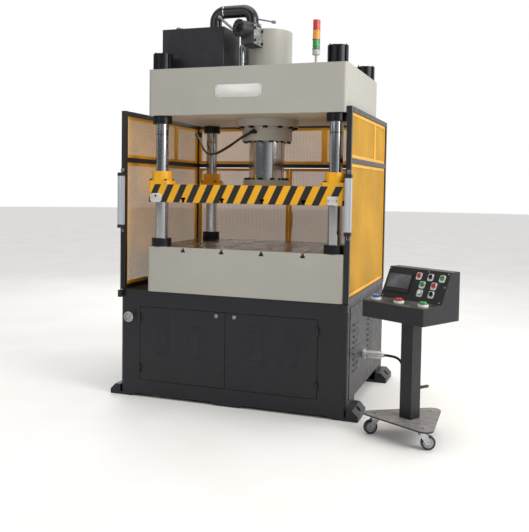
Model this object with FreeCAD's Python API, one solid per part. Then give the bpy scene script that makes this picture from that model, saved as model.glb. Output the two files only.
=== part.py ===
import FreeCAD, Part
import math
import os

# Four-column hydraulic press: cabinet, bed, columns, crown and cylinder, a
# guided slide, a mesh guard on three sides, and an operator console on
# casters that a cable ties to the cabinet. Millimetres, +X right, +Y to the
# back, +Z up. Origin: the middle of the four corner anchor holes, on the floor.

V = FreeCAD.Vector

# ---- Cabinet and feet ----
cabinet_width = 1460.0
cabinet_depth = 1120.0
cabinet_top = 670.0
cabinet_wall = 6.0
cabinet_corner = 28.0
top_plate = 20.0
top_plate_play = 5.0
floor_level = 100.0
apron_bottom = 18.0
skirt_length = 220.0
ledge_height = 11.0
ledge_depth = 7.0
ledge_width = 978.0
ledge_centre = 71.0
foot_width = 150.0
foot_reach = 70.0
foot_length = 215.0
foot_edge = 30.0
foot_top = 65.0
foot_toe = 33.0
anchor_radius = 9.0
anchor_inset = 22.0
anchor_seat_radius = 17.0
anchor_seat_height = 20.0

# ---- Cabinet doors and covers ----
door_meeting_x = -18.0
door_span = 1146.0
door_bottom = 109.0
door_top = 568.0
door_gap = 3.0
door_return = 25.0
cover_wall = 3.0
cover_margin = 60.0
side_cover_top = 640.0
side_opening_top = 580.0
side_opening_margin = 120.0
louvre_height = 14.0
louvre_reach = 7.0
louvre_wall = 2.0
front_louvre_width = 80.0
front_louvre_pitch = 35.0
front_louvre_count = 8
front_louvre_top = 530.0
front_louvre_offsets = (204.0, 418.0)
side_louvre_width = 120.0
side_louvre_pitch = 34.0
side_louvre_count = 9
side_louvre_top = 536.0
side_louvre_places = (-355.0, 70.0)
hinge_radius = 7.0
hinge_half = 26.0
hinge_pin_radius = 4.0
hinge_play = 0.1
hinge_step = 0.5
hinge_leaf = 12.0
hinge_leaf_wall = 3.0
front_hinge_inset = 70.0

# ---- Pressure gauge ----
gauge_x = -660.0
gauge_z = 503.0
gauge_radius = 32.0
gauge_depth = 26.0
gauge_wall = 3.0
gauge_stem_radius = 6.0
gauge_stem_play = 0.1
gauge_stem_length = 40.0
gauge_dial_depth = 18.0
needle_length = 22.0
needle_tail = 6.0
needle_half = 1.6
needle_tip = 0.5
needle_hub_radius = 3.0
needle_start = -135.0

# ---- Press frame ----
press_x = 79.0
press_y = -124.0
bed_width = 1244.0
bed_depth = 884.0
bed_height = 280.0
block_corner = 22.0
bed_pocket_depth = 200.0
bed_rib = 60.0
crown_bottom = 1752.0
crown_height = 280.0
column_radius = 40.0
column_side_margin = 30.0
column_front_margin = 18.0
column_hole_play = 0.5
fit_play = 0.05
run_play = 0.08
upper_collar_wall = 18.5
upper_collar_height = 50.0
lower_collar_wall = 21.0
lower_collar_height = 52.0
collar_seat_depth = 2.0
collar_seat_play = 1.0
collar_slit = 4.0
nut_wall = 20.0
nut_height = 98.0
low_nut_height = 60.0
low_nut_play = 1.0
nut_notch_width = 12.0
nut_notch_depth = 7.0
nut_notch_count = 8
nut_notch_first = 12.0
column_end_inset = 4.0
set_screw_radius = 4.0
set_screw_height = 12.0
set_screw_turn = 200.0

# ---- T-slots ----
slot_pitch = 253.0
slot_count = 4
slot_length = 226.0
slot_neck = 18.0
slot_head = 30.0
slot_head_height = 12.0
slot_depth = 30.0

# ---- Cylinder ----
barrel_radius = 152.5
barrel_top = 2308.0
barrel_wall = 24.5
barrel_end_wall = 25.0
flange_reach = 47.5
flange_height = 46.0
gland_reach = 7.5
gland_height = 90.0
spigot_height = 30.0
flange_bolt_offset = 28.5
flange_bolt_count = 12
flange_bolt_first = 15.0
flange_bolt_radius = 10.0
flange_bolt_head = 17.0
flange_bolt_head_height = 13.0
flange_bolt_grip = 38.0
gland_bolt_inset = 15.0
gland_bolt_count = 12
gland_bolt_radius = 8.0
gland_bolt_head = 13.0
gland_bolt_head_height = 10.0
gland_bolt_grip = 24.0
bolt_hole_play = 0.5
thread_room = 2.0
barrel_edge = 4.0

# ---- Slide ----
slide_bottom = 1224.0
slide_height = 110.0
rod_radius = 114.0
rod_flange_reach = 36.0
rod_flange_height = 36.0
rod_bolt_offset = 18.0
rod_bolt_count = 10
rod_bolt_first = 18.0
rod_bolt_radius = 8.0
rod_bolt_head = 13.0
rod_bolt_head_height = 14.0
rod_bolt_grip = 34.0
piston_rest = 1985.0
piston_height = 75.0
bush_wall = 22.0
bush_seat_wall = 12.0
bush_height = 80.0
bush_flange_reach = 22.0
bush_flange_height = 23.0
bush_bolt_offset = 10.0
bush_bolt_count = 4
bush_bolt_first = 45.0
bush_bolt_radius = 5.0
bush_bolt_head = 8.5
bush_bolt_head_height = 8.0
bush_bolt_grip = 24.0
bush_recess = 2.0

# ---- Oil tank, suction pipe and filling valve ----
tank_gap = 37.5
tank_width = 419.0
tank_front_reach = 55.0
tank_depth = 270.0
tank_height = 271.0
tank_wall = 4.0
tank_corner = 6.0
pipe_radius = 38.0
pipe_wall = 4.0
pipe_bend = 60.0
pipe_room = 78.5
pipe_tank_inset = 77.0
pipe_dip = 60.0
pipe_axis_height = 2399.0
valve_x = 54.0
valve_width = 84.0
valve_front_reach = 85.0
valve_bottom = 2186.0
valve_top = 2300.0
valve_flange_reach = 17.0
valve_flange_height = 14.0
valve_cap_radius = 49.0
valve_cap_length = 92.0
valve_cap_turn = 30.0
valve_cap_height = 2272.0
valve_rim_reach = 4.0
valve_rim_length = 14.0
valve_floor = 30.0

# ---- Small oil pipes and the tank's breather ----
breather_x = -464.0
breather_y = -300.0
breather_radius = 15.0
breather_cap_radius = 21.0
breather_neck = 12.0
breather_cap_height = 18.0
pilot_radius = 8.0
pilot_nut_radius = 12.0
pilot_nut_length = 24.0
bleed_radius = 5.0
bleed_nut_radius = 10.0
bleed_nut_length = 22.0
bleed_height = 2345.0
bleed_reach = 112.0
bleed_drop = 26.0
riser_x = -38.0
riser_back = 70.0
riser_radius = 16.0
riser_bend = 30.0
riser_height = 2215.0

# ---- Power unit inside the cabinet ----
motor_x = -330.0
motor_y = 60.0
motor_radius = 105.0
motor_length = 330.0
motor_height = 245.0
motor_foot_inset = 60.0
motor_foot_half = 90.0
pump_radius = 62.0
pump_length = 150.0

# ---- Signal tower ----
tower_x = 447.0
tower_y = -310.0
tower_foot_radius = 28.0
tower_foot_height = 6.0
tower_pole_radius = 8.0
tower_pole_height = 89.0
tower_base_height = 32.0
tower_radius = 23.0
tower_lens_height = 58.0
tower_lens_wall = 2.5

# ---- Guard ----
guard_top = 1786.0
guard_tube = 28.0
guard_mid = 1482.0
guard_side_seam = 177.0
guard_back_seam = 286.0
guard_door_seam = 20.0
panel_wall = 2.0
panel_frame = 20.0
panel_frame_depth = 12.0
panel_play = 1.0
rear_door_gap = 4.0
rear_hinge_low = 120.0
rear_hinge_high = 140.0
handle_radius = 5.0
handle_bend = 14.0
handle_reach = 34.0
handle_half = 60.0
curtain_width = 38.0
curtain_depth = 30.0
curtain_bottom = 1058.0
curtain_height = 344.0
curtain_offset = 6.0
curtain_corner = 4.0
curtain_cable_radius = 3.0
curtain_gland = 26.0
curtain_gland_drop = 2.0
curtain_gland_height = 44.0

# ---- Operator console ----
console_gap_x = 377.0
console_gap_y = 134.0
console_turn = -30.0
console_width = 400.0
console_wall = 3.0
console_front = -168.0
console_back = 133.0
console_crease = -22.0
console_crest = 58.0
console_bottom = 643.0
console_lip = 731.0
console_crease_height = 737.0
console_height = 900.0
screen_centre_u = -111.5
screen_centre_v = 94.0
screen_width = 167.0
screen_height = 111.0
screen_proud = 5.0
button_places = {
    "button_red_upper": (10.0, 145.0), "selector_upper": (84.0, 145.0),
    "button_green_upper": (158.0, 145.0), "button_green_middle": (46.0, 99.0),
    "button_red_middle": (120.0, 99.0), "button_white": (46.0, 52.0),
    "selector_lower": (119.0, 52.0)}
palm_places = {"palm_blue": -158.0, "emergency_stop": -5.0, "palm_green": 150.0}
button_radius = 11.0
button_play = 0.4
button_proud = 9.0
button_stem = 12.0
palm_radius = 20.0
palm_proud = 26.0
palm_stem_radius = 11.0
palm_line = 62.0
palm_gap = 14.0
palm_edge = 5.0
selector_collar = 4.0
selector_proud = 12.0
selector_half = 3.5
post_side = 76.0
post_wall = 4.0
stand_plate = 8.0
stand_reach = 247.0
stand_corner = 46.0
caster_circle = 185.0
caster_angles = (210.0, 330.0, 90.0)
caster_names = ("left", "right", "rear")
caster_headings = (215.0, 20.0, 75.0)
caster_offset = 26.0
wheel_radius = 37.5
wheel_width = 24.0
fork_wall = 3.0
fork_play = 1.0
axle_radius = 5.0
caster_stem = 6.0
caster_stem_play = 0.1
caster_stem_proud = 6.0
caster_race_radius = 20.0
caster_race_height = 20.0
caster_race_play = 1.0
fork_half = 22.0
fork_crown_play = 3.0
fork_end_half = 11.0
fork_end_drop = 6.0
axle_proud = 3.0
tread_edge = 3.0

# ---- Hose, cables and their ends ----
hose_radius = 8.0
hose_fitting_radius = 12.0
hose_fitting_length = 34.0
hose_fitting_turn = 262.0
hose_fitting_reach = 24.0
hose_fitting_root = 4.0
hose_ferrule_wall = 2.5
hose_clip_width = 13.0
hose_clip_length = 28.0
hose_clip_half = 18.0
cable_radius = 8.0
socket_y = -120.0
socket_z = 299.0
socket_radius = 23.0
socket_length = 118.0
socket_back_radius = 16.0
socket_collar_reach = 6.0
socket_collar_length = 14.0
gland_nose_radius = 13.0
gland_nose_length = 30.0
socket_nose_length = 15.0
stand_gland_height = 255.0

hose_points = [
    V(30, -297, 1664), V(-50, -262, 1632), V(-160, -190, 1582), V(-275, -90, 1547),
    V(-380, 20, 1541), V(-460, 115, 1566), V(-530, 205, 1614), V(-590, 300, 1668),
    V(-650, 378, 1703), V(-689, 442, 1715), V(-689, 510, 1715)]

cable_points = [
    V(866, -120, 299), V(917, -120, 299), V(963, -146, 290), V(990, -198, 269),
    V(1003, -262, 240), V(1020, -330, 215), V(1058, -385, 204), V(1110, -428, 206),
    V(1160, -467, 222), V(1182, -521, 242), V(1171.5, -582.1, 255), V(1141, -635, 255)]

# ---- Places worked out from the sizes above ----
front_y = -cabinet_depth / 2.0
back_y = cabinet_depth / 2.0
side_x = cabinet_width / 2.0
bed_top = cabinet_top + bed_height
collar_seat = bed_top - collar_seat_depth
crown_top = crown_bottom + crown_height
slide_top = slide_bottom + slide_height
flange_bottom = crown_bottom - flange_height
gland_bottom = flange_bottom - gland_height
rod_flange_top = slide_top + rod_flange_height
door_left_x = door_meeting_x - door_span / 2.0
door_right_x = door_meeting_x + door_span / 2.0
anchor_x = side_x + foot_reach - anchor_inset
column_span_x = bed_width - 2.0 * (column_radius + column_side_margin)
column_span_y = bed_depth - 2.0 * (column_radius + column_front_margin)
column_front_y = press_y - column_span_y / 2.0
upper_collar_radius = column_radius + upper_collar_wall
lower_collar_radius = column_radius + lower_collar_wall
nut_radius = column_radius + nut_wall
low_nut_flat = column_front_y - front_y - cabinet_wall - low_nut_play
bush_radius = column_radius + bush_wall
bush_seat_radius = column_radius + bush_seat_wall
bush_flange_radius = bush_radius + bush_flange_reach
bush_bolt_circle = bush_radius + bush_bolt_offset
barrel_bore = barrel_radius - barrel_wall
flange_radius = barrel_radius + flange_reach
flange_bolt_circle = barrel_radius + flange_bolt_offset
gland_radius = barrel_radius + gland_reach
gland_bolt_circle = gland_radius - gland_bolt_inset
rod_flange_radius = rod_radius + rod_flange_reach
rod_bolt_circle = rod_radius + rod_bolt_offset
valve_flange_radius = pipe_radius + valve_flange_reach
curtain_gland_top = cabinet_top - curtain_gland_drop
console_x = side_x + console_gap_x
console_y = front_y - console_gap_y
fork_top = 2.0 * wheel_radius + fork_crown_play + fork_wall
stand_top = fork_top + caster_race_height + caster_race_play + stand_plate
anchor_y = back_y - foot_length / 2.0
guard_rail_top = guard_top - guard_tube
guard_rail_bottom = cabinet_top + guard_tube
guard_inner_x = side_x - guard_tube
guard_inner_back = back_y - guard_tube
guard_inner_front = front_y + guard_tube
tank_top = crown_top + tank_height
pipe_y = press_y - barrel_radius - pipe_room
tank_right = press_x - barrel_radius - tank_gap
tank_left = tank_right - tank_width
tank_front = pipe_y - tank_front_reach
pipe_tank_x = tank_right - pipe_tank_inset
valve_front = pipe_y - valve_front_reach
riser_y = pipe_y + riser_back


def box(x0, x1, y0, y1, z0, z1):
    return Part.makeBox(x1 - x0, y1 - y0, z1 - z0, V(x0, y0, z0))


def rod(radius, start, end):
    path = end - start
    return Part.makeCylinder(radius, path.Length, start, path)


def post(radius, x, y, z0, z1):
    return Part.makeCylinder(radius, z1 - z0, V(x, y, z0))


def pipe_piece(outer, inner, x, y, z0, z1):
    return post(outer, x, y, z0, z1).cut(post(inner, x, y, z0 - 1.0, z1 + 1.0))


def join(shapes):
    whole = shapes[0].multiFuse(shapes[1:])
    return whole.removeSplitter()


def prism(points, path):
    outline = Part.makePolygon(points + [points[0]])
    return Part.Face(outline).extrude(path)


def upright_edges(shape, corners):
    found = []
    for edge in shape.Edges:
        ends = edge.Vertexes
        if len(ends) == 2 and abs(ends[0].X - ends[1].X) + abs(ends[0].Y - ends[1].Y) < 1e-6:
            for x, y in corners:
                if abs(ends[0].X - x) + abs(ends[0].Y - y) < 1e-3:
                    found.append(edge)
    return found


def rounded_box(x0, x1, y0, y1, z0, z1, radius):
    shape = box(x0, x1, y0, y1, z0, z1)
    corners = [(x0, y0), (x0, y1), (x1, y0), (x1, y1)]
    return shape.makeFillet(radius, upright_edges(shape, corners))


def circle_places(centre_x, centre_y, radius, count, first=0.0):
    places = []
    for index in range(count):
        angle = math.radians(first + 360.0 * index / count)
        places.append((centre_x + radius * math.cos(angle), centre_y + radius * math.sin(angle)))
    return places


def hexagon(x, y, radius, z0, z1):
    corners = [V(px, py, z0) for px, py in circle_places(x, y, radius, 6)]
    return prism(corners, V(0, 0, z1 - z0))


def hex_bolt(x, y, seat, head_radius, head_height, shank_radius, shank_length, side):
    # side is +1 when the head stands above its seat, -1 when it hangs below.
    far = seat + side * head_height
    head = hexagon(x, y, head_radius, min(seat, far), max(seat, far))
    end = seat - side * shank_length
    return head.fuse(post(shank_radius, x, y, min(seat, end), max(seat, end)))


def column_places():
    dx = column_span_x / 2.0
    dy = column_span_y / 2.0
    return [(press_x + sx * dx, press_y + sy * dy) for sy in (-1, 1) for sx in (-1, 1)]


def slot_places():
    first = press_x - slot_pitch * (slot_count - 1) / 2.0
    return [first + slot_pitch * index for index in range(slot_count)]


def t_slots(front, back, face, side):
    # side is -1 when the slots are cut down into a top face, +1 for an underside.
    cuts = []
    for x in slot_places():
        for y0, y1 in ((front - 1.0, front + slot_length), (back - slot_length, back + 1.0)):
            neck = sorted((face - side, face + side * slot_depth))
            head = sorted((face + side * (slot_depth - slot_head_height), face + side * slot_depth))
            cuts.append(box(x - slot_neck / 2, x + slot_neck / 2, y0, y1, neck[0], neck[1]))
            cuts.append(box(x - slot_head / 2, x + slot_head / 2, y0, y1, head[0], head[1]))
    return cuts


def smooth_path(points, print_name=None):
    # Straight runs joined by tangent arcs, each as large as its two runs allow.
    edges = []
    radii = []
    start = points[0]
    for before, corner, after in zip(points, points[1:], points[2:]):
        into = corner - before
        out = after - corner
        shorter = min(into.Length, out.Length)
        half_turn = into.getAngle(out) / 2.0
        setback = 0.45 * shorter
        into.normalize()
        out.normalize()
        arc_start = corner - into * setback
        arc_end = corner + out * setback
        radius = setback / math.tan(half_turn)
        radii.append(radius)
        inward = out - into
        inward.normalize()
        middle = corner + inward * (radius / math.cos(half_turn) - radius)
        edges.append(Part.LineSegment(start, arc_start).toShape())
        edges.append(Part.Arc(arc_start, middle, arc_end).toShape())
        start = arc_end
    edges.append(Part.LineSegment(start, points[-1]).toShape())
    if print_name:
        print(print_name, "arc radii", [round(radius) for radius in radii])
    return Part.Wire(edges)


def tube(points, radius, name=None):
    path = smooth_path(points, name)
    section = Part.Wire([Part.makeCircle(radius, points[0], points[1] - points[0])])
    solid = path.makePipeShell([section], True, True)
    if name:
        expected = math.pi * radius ** 2 * path.Length
        print(name, "length", round(path.Length), "volume over section times length",
              round(solid.Volume / expected, 4))
    return solid


def louvre(width, height, reach, wall):
    # One louvre on a sheet whose outer face is y = 0: a sloping hood, closed at
    # its ends and open below, and the slot behind it.
    hood = prism([V(0, 0, 0), V(0, -reach, -height), V(0, -reach + wall, -height),
                  V(0, 0, -wall * 2.0)], V(width, 0, 0))
    cheek = prism([V(0, 0, 0), V(0, -reach, -height), V(0, 0, -height)], V(wall, 0, 0))
    other = cheek.copy()
    other.translate(V(width - wall, 0, 0))
    slot = box(wall, width - wall, -0.5, 50.0, -height + 1.0, -wall * 2.0)
    hood = join([hood, cheek, other])
    for piece in (hood, slot):
        piece.translate(V(-width / 2.0, 0, 0))
    return hood, slot


def louvre_columns(places, width, pitch, count, top):
    hoods = []
    slots = []
    for x in places:
        for index in range(count):
            hood, slot = louvre(width, louvre_height, louvre_reach, louvre_wall)
            for piece in (hood, slot):
                piece.translate(V(x, 0, top - pitch * index))
            hoods.append(hood)
            slots.append(slot)
    return hoods, slots


def hinge(x, y, z, leaf_dx, leaf_dy):
    # A lift-off hinge: the fixed half carries the pin, the moving half turns on it.
    # Each leaf reaches from the barrel to the sheet that it is welded to.
    low = pipe_piece(hinge_radius, hinge_pin_radius - 1.0, x, y, z - hinge_half, z)
    pin = post(hinge_pin_radius, x, y, z - hinge_half, z + hinge_half - 4.0)
    high = pipe_piece(hinge_radius, hinge_pin_radius + hinge_play, x, y,
                      z + hinge_step, z + hinge_half)
    reach = hinge_radius + hinge_leaf
    fixed_leaf = leaf_plate(x, y, -leaf_dx * reach, leaf_dy, z - hinge_half, z)
    moving_leaf = leaf_plate(x, y, leaf_dx * reach, leaf_dy, z + hinge_step, z + hinge_half)
    bore = post(hinge_pin_radius + hinge_play, x, y, z - 1.0, z + hinge_half + 1.0)
    return join([low, pin, fixed_leaf]), join([high, moving_leaf]).cut(bore)


def leaf_plate(x, y, dx, dy, z0, z1):
    # The leaf lies against the sheet and starts inside the barrel's wall.
    near = y + dy * hinge_radius
    inner = near - dy * hinge_leaf_wall
    xs = sorted((x, x + dx))
    ys = sorted((inner, near))
    return box(xs[0], xs[1], ys[0], ys[1], z0, z1)


def save(name, shape):
    shape.exportStep("parts/" + name + ".step")
    count = len(shape.Solids)
    print(name, "solids", count, "volume", round(shape.Volume), "valid", shape.isValid())


def group(shapes):
    return Part.makeCompound(shapes)


# ---- cabinet ----
def cabinet_shell():
    outer = rounded_box(-side_x, side_x, front_y, back_y, apron_bottom, cabinet_top, cabinet_corner)
    wall = cabinet_wall
    inner_corner = cabinet_corner - wall
    room = rounded_box(-side_x + wall, side_x - wall, front_y + wall, back_y - wall,
                       floor_level + wall, cabinet_top - top_plate, inner_corner)
    under = rounded_box(-side_x + wall, side_x - wall, front_y + wall, back_y - wall,
                        apron_bottom - 1.0, floor_level, inner_corner)
    side_gap = box(-side_x - 1.0, side_x + 1.0, front_y + skirt_length, back_y - skirt_length,
                   apron_bottom - 1.0, floor_level)
    return outer.cut([room, under, side_gap])


def cabinet_openings():
    wall = cabinet_wall
    door = box(door_left_x - door_gap, door_right_x + door_gap, front_y - 1.0, front_y + wall + 1.0,
               door_bottom - door_gap, door_top + door_gap)
    low = floor_level + cover_margin
    inset = side_opening_margin
    side = box(-side_x - 1.0, side_x + 1.0, front_y + inset, back_y - inset, low, side_opening_top)
    back = box(-side_x + inset, side_x - inset, back_y - wall - 1.0, back_y + 1.0, low, side_opening_top)
    holes = [post(column_radius + top_plate_play, x, y, cabinet_top - top_plate - 1.0, cabinet_top + 1.0)
             for x, y in column_places()]
    stem = rod(gauge_stem_radius + gauge_stem_play, V(gauge_x, front_y - 1.0, gauge_z),
               V(gauge_x, front_y + wall + 1.0, gauge_z))
    return [door, side, back, stem] + holes


def front_hinges():
    # Two hinges a door, standing just proud of the front sheet.
    fixed = []
    moving = {"left": [], "right": []}
    y = front_y - hinge_radius
    for z in (door_bottom + front_hinge_inset, door_top - front_hinge_inset):
        for side, x, towards in (("left", door_left_x - door_gap / 2, 1.0),
                                 ("right", door_right_x + door_gap / 2, -1.0)):
            still, turning = hinge(x, y, z, towards, 1.0)
            fixed.append(still)
            moving[side].append(turning)
    return fixed, moving


def make_cabinet(hinge_halves):
    shell = cabinet_shell().cut(cabinet_openings())
    ledge = box(ledge_centre - ledge_width / 2, ledge_centre + ledge_width / 2,
                front_y - ledge_depth, front_y, cabinet_top - ledge_height, cabinet_top)
    return join([shell, ledge] + hinge_halves)


def make_feet():
    pads = []
    for side in (-1, 1):
        inner = side * (side_x + foot_reach - foot_width)
        outer = side * (side_x + foot_reach)
        slope = side * (side_x + foot_reach - (foot_top - foot_edge))
        wall = side * side_x
        toe = inner - side * foot_toe
        for y0 in (front_y, back_y - foot_length):
            profile = [V(inner, y0, 0), V(outer, y0, 0), V(outer, y0, foot_edge),
                       V(slope, y0, foot_top), V(wall, y0, foot_top), V(wall, y0, apron_bottom),
                       V(toe, y0, apron_bottom)]
            pad = prism(profile, V(0, foot_length, 0))
            x = side * anchor_x
            y = y0 + foot_length / 2.0
            hole = post(anchor_radius, x, y, -1.0, foot_top + 1.0)
            seat = post(anchor_seat_radius, x, y, anchor_seat_height, foot_top + 1.0)
            pads.append(pad.cut([hole, seat]))
    half = foot_width / 2.0
    for y0 in (front_y, back_y - foot_length / 2.0):
        profile = [V(-half, y0, 0), V(half, y0, 0), V(half + foot_toe, y0, apron_bottom),
                   V(-half - foot_toe, y0, apron_bottom)]
        pads.append(prism(profile, V(0, foot_length / 2.0, 0)))
    return group(pads)


def make_door(x0, x1, louvre_places, hinge_halves):
    # A flat sheet with returned edges and two columns of louvres.
    wall = cover_wall
    sheet = box(x0, x1, front_y, front_y + door_return, door_bottom, door_top)
    pocket = box(x0 + wall, x1 - wall, front_y + wall, front_y + door_return + 1.0,
                 door_bottom + wall, door_top - wall)
    tray = sheet.cut(pocket)
    hoods, slots = louvre_columns(louvre_places, front_louvre_width, front_louvre_pitch,
                                  front_louvre_count, front_louvre_top)
    for piece in hoods + slots:
        piece.translate(V(0, front_y, 0))
    return join([tray.cut(slots)] + hoods + hinge_halves)


def make_side_cover(side):
    # A louvred sheet over the cabinet's side opening, drawn at y = 0 and turned.
    y0 = front_y + cover_margin
    y1 = back_y - cover_margin
    z0 = floor_level
    z1 = side_cover_top
    sheet = box(y0, y1, 0.0, cover_wall, z0, z1)
    hoods, slots = louvre_columns(side_louvre_places, side_louvre_width, side_louvre_pitch,
                                  side_louvre_count, side_louvre_top)
    cover = join([sheet.cut(slots)] + hoods)
    if side > 0:
        cover.rotate(V(0, 0, 0), V(0, 0, 1), 90.0)
        cover.translate(V(side_x + cover_wall, 0, 0))
        socket_hole = rod(socket_back_radius + bolt_hole_play, V(side_x - 2.0, socket_y, socket_z),
                          V(side_x + 20.0, socket_y, socket_z))
        return cover.cut(socket_hole)
    cover = cover.mirror(V(0, 0, 0), V(0, 1, 0))
    cover.rotate(V(0, 0, 0), V(0, 0, 1), 90.0)
    cover.translate(V(-side_x - cover_wall, 0, 0))
    return cover


def make_rear_cover():
    return box(-side_x + cover_margin, side_x - cover_margin, back_y, back_y + cover_wall,
               floor_level, side_cover_top)


def make_gauge():
    start = V(gauge_x, front_y - gauge_depth, gauge_z)
    case = rod(gauge_radius, start, V(gauge_x, front_y, gauge_z))
    cup = rod(gauge_radius - gauge_wall, start - V(0, 1, 0), start + V(0, gauge_dial_depth, 0))
    stem = rod(gauge_stem_radius, V(gauge_x, front_y - 1.0, gauge_z),
               V(gauge_x, front_y + gauge_stem_length, gauge_z))
    return join([case.cut(cup), stem])


def make_needle():
    # The hand floats in front of the dial on a hub 0.3 mm clear of it.
    face = front_y - gauge_depth + gauge_dial_depth
    hub = rod(needle_hub_radius, V(gauge_x, face - 5.0, gauge_z), V(gauge_x, face - 0.3, gauge_z))
    hand = prism([V(-needle_half, 0, -needle_tail), V(needle_half, 0, -needle_tail),
                  V(needle_tip, 0, needle_length), V(-needle_tip, 0, needle_length)], V(0, 1.0, 0))
    hand.translate(V(gauge_x, face - 4.0, gauge_z))
    needle = join([hub, hand])
    needle.rotate(V(gauge_x, face, gauge_z), V(0, 1, 0), needle_start)
    return needle


# ---- press frame ----
def block(z0, height):
    return rounded_box(press_x - bed_width / 2, press_x + bed_width / 2, press_y - bed_depth / 2,
                       press_y + bed_depth / 2, z0, z0 + height, block_corner)


def column_holes(z0, z1):
    return [post(column_radius + column_hole_play, x, y, z0 - 1.0, z1 + 1.0)
            for x, y in column_places()]


def bed_pockets():
    # Ribbed underside: three bays between the column bosses.
    room_x = (column_span_x - 2.0 * (upper_collar_radius + bed_rib) - 2.0 * bed_rib) / 3.0
    half_y = bed_depth / 2.0 - bed_rib
    first = press_x - (3.0 * room_x + 2.0 * bed_rib) / 2.0
    cuts = []
    for index in range(3):
        x0 = first + index * (room_x + bed_rib)
        cuts.append(box(x0, x0 + room_x, press_y - half_y, press_y + half_y,
                        cabinet_top - 1.0, cabinet_top + bed_pocket_depth))
    return cuts


def make_bed():
    front = press_y - bed_depth / 2.0
    back = press_y + bed_depth / 2.0
    shape = block(cabinet_top, bed_height)
    seats = [post(lower_collar_radius + collar_seat_play, x, y, collar_seat, bed_top + 1.0)
             for x, y in column_places()]
    return shape.cut(column_holes(cabinet_top, bed_top) + t_slots(front, back, bed_top, -1)
                     + bed_pockets() + seats)


def flange_bolt_places():
    return circle_places(press_x, press_y, flange_bolt_circle, flange_bolt_count, flange_bolt_first)


def gland_bolt_places():
    return circle_places(press_x, press_y, gland_bolt_circle, gland_bolt_count)


def make_crown():
    bore = post(barrel_radius + column_hole_play, press_x, press_y, crown_bottom - 1.0, crown_top + 1.0)
    depth = flange_bolt_grip + thread_room
    threads = [post(flange_bolt_radius + fit_play, x, y, crown_bottom - 1.0, crown_bottom + depth)
               for x, y in flange_bolt_places()]
    return block(crown_bottom, crown_height).cut(
        column_holes(crown_bottom, crown_top) + [bore] + threads)


def make_columns():
    low = cabinet_top - top_plate - low_nut_height
    high = crown_top + nut_height - column_end_inset
    return group([post(column_radius, x, y, low, high) for x, y in column_places()])


def make_collars():
    collars = []
    inner = column_radius + fit_play
    for x, y in column_places():
        for radius, z0, z1 in ((upper_collar_radius, crown_bottom - upper_collar_height, crown_bottom),
                               (lower_collar_radius, collar_seat, collar_seat + lower_collar_height)):
            ring = pipe_piece(radius, inner, x, y, z0, z1)
            slit = box(x - collar_slit / 2, x + collar_slit / 2, y, y + radius + 1.0, z0 - 1.0, z1 + 1.0)
            collars.append(ring.cut(slit))
    return collars


def low_nut(x, y):
    # The nut under the cabinet's top plate has two spanner flats that clear the front wall.
    z1 = cabinet_top - top_plate
    z0 = z1 - low_nut_height
    ring = pipe_piece(nut_radius, column_radius + fit_play, x, y, z0, z1)
    return ring.common(box(x - nut_radius, x + nut_radius, y - low_nut_flat, y + low_nut_flat, z0, z1))


def column_nut(x, y, z0):
    ring = pipe_piece(nut_radius, column_radius + fit_play, x, y, z0, z0 + nut_height)
    notches = []
    for index in range(nut_notch_count):
        notch = box(nut_radius - nut_notch_depth, nut_radius + 2.0, -nut_notch_width / 2,
                    nut_notch_width / 2, z0 - 1.0, z0 + nut_height + 1.0)
        notch.rotate(V(0, 0, 0), V(0, 0, 1), 360.0 * index / nut_notch_count + nut_notch_first)
        notch.translate(V(x, y, 0))
        notches.append(notch)
    return ring.cut(notches)


def make_nuts():
    pieces = []
    ring = (nut_radius - nut_notch_depth + column_radius) / 2.0
    for x, y in column_places():
        pieces.append(column_nut(x, y, crown_top))
        pieces.append(low_nut(x, y))
        for px, py in circle_places(x, y, ring, 2, set_screw_turn):
            pieces.append(post(set_screw_radius, px, py, crown_top + nut_height,
                               crown_top + nut_height + set_screw_height))
    return pieces


# ---- cylinder ----
def make_barrel():
    body = post(barrel_radius, press_x, press_y, flange_bottom, barrel_top)
    top_edge = [edge for edge in body.Edges if abs(edge.BoundBox.ZMin - barrel_top) < 1e-6]
    body = body.makeChamfer(barrel_edge, top_edge)
    body = join([body, post(flange_radius, press_x, press_y, flange_bottom, crown_bottom)])
    bore = post(barrel_bore, press_x, press_y, flange_bottom - 1.0, barrel_top - barrel_end_wall)
    holes = [post(flange_bolt_radius + bolt_hole_play, x, y, flange_bottom - 1.0, crown_bottom + 1.0)
             for x, y in flange_bolt_places()]
    depth = gland_bolt_grip + thread_room
    threads = [post(gland_bolt_radius + fit_play, x, y, flange_bottom - 1.0, flange_bottom + depth)
               for x, y in gland_bolt_places()]
    return body.cut([bore] + holes + threads)


def make_gland():
    ring = post(gland_radius, press_x, press_y, gland_bottom, flange_bottom)
    spigot = post(barrel_bore - fit_play, press_x, press_y, flange_bottom, flange_bottom + spigot_height)
    bore = post(rod_radius + run_play, press_x, press_y, gland_bottom - 1.0,
                flange_bottom + spigot_height + 1.0)
    holes = [post(gland_bolt_radius + bolt_hole_play, x, y, gland_bottom - 1.0, flange_bottom + 1.0)
             for x, y in gland_bolt_places()]
    return join([ring, spigot]).cut([bore] + holes)


def make_cylinder_bolts():
    bolts = [hex_bolt(x, y, flange_bottom, flange_bolt_head, flange_bolt_head_height,
                      flange_bolt_radius, flange_height + flange_bolt_grip, -1)
             for x, y in flange_bolt_places()]
    bolts += [hex_bolt(x, y, gland_bottom, gland_bolt_head, gland_bolt_head_height,
                       gland_bolt_radius, gland_height + gland_bolt_grip, -1)
              for x, y in gland_bolt_places()]
    return group(bolts)


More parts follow.
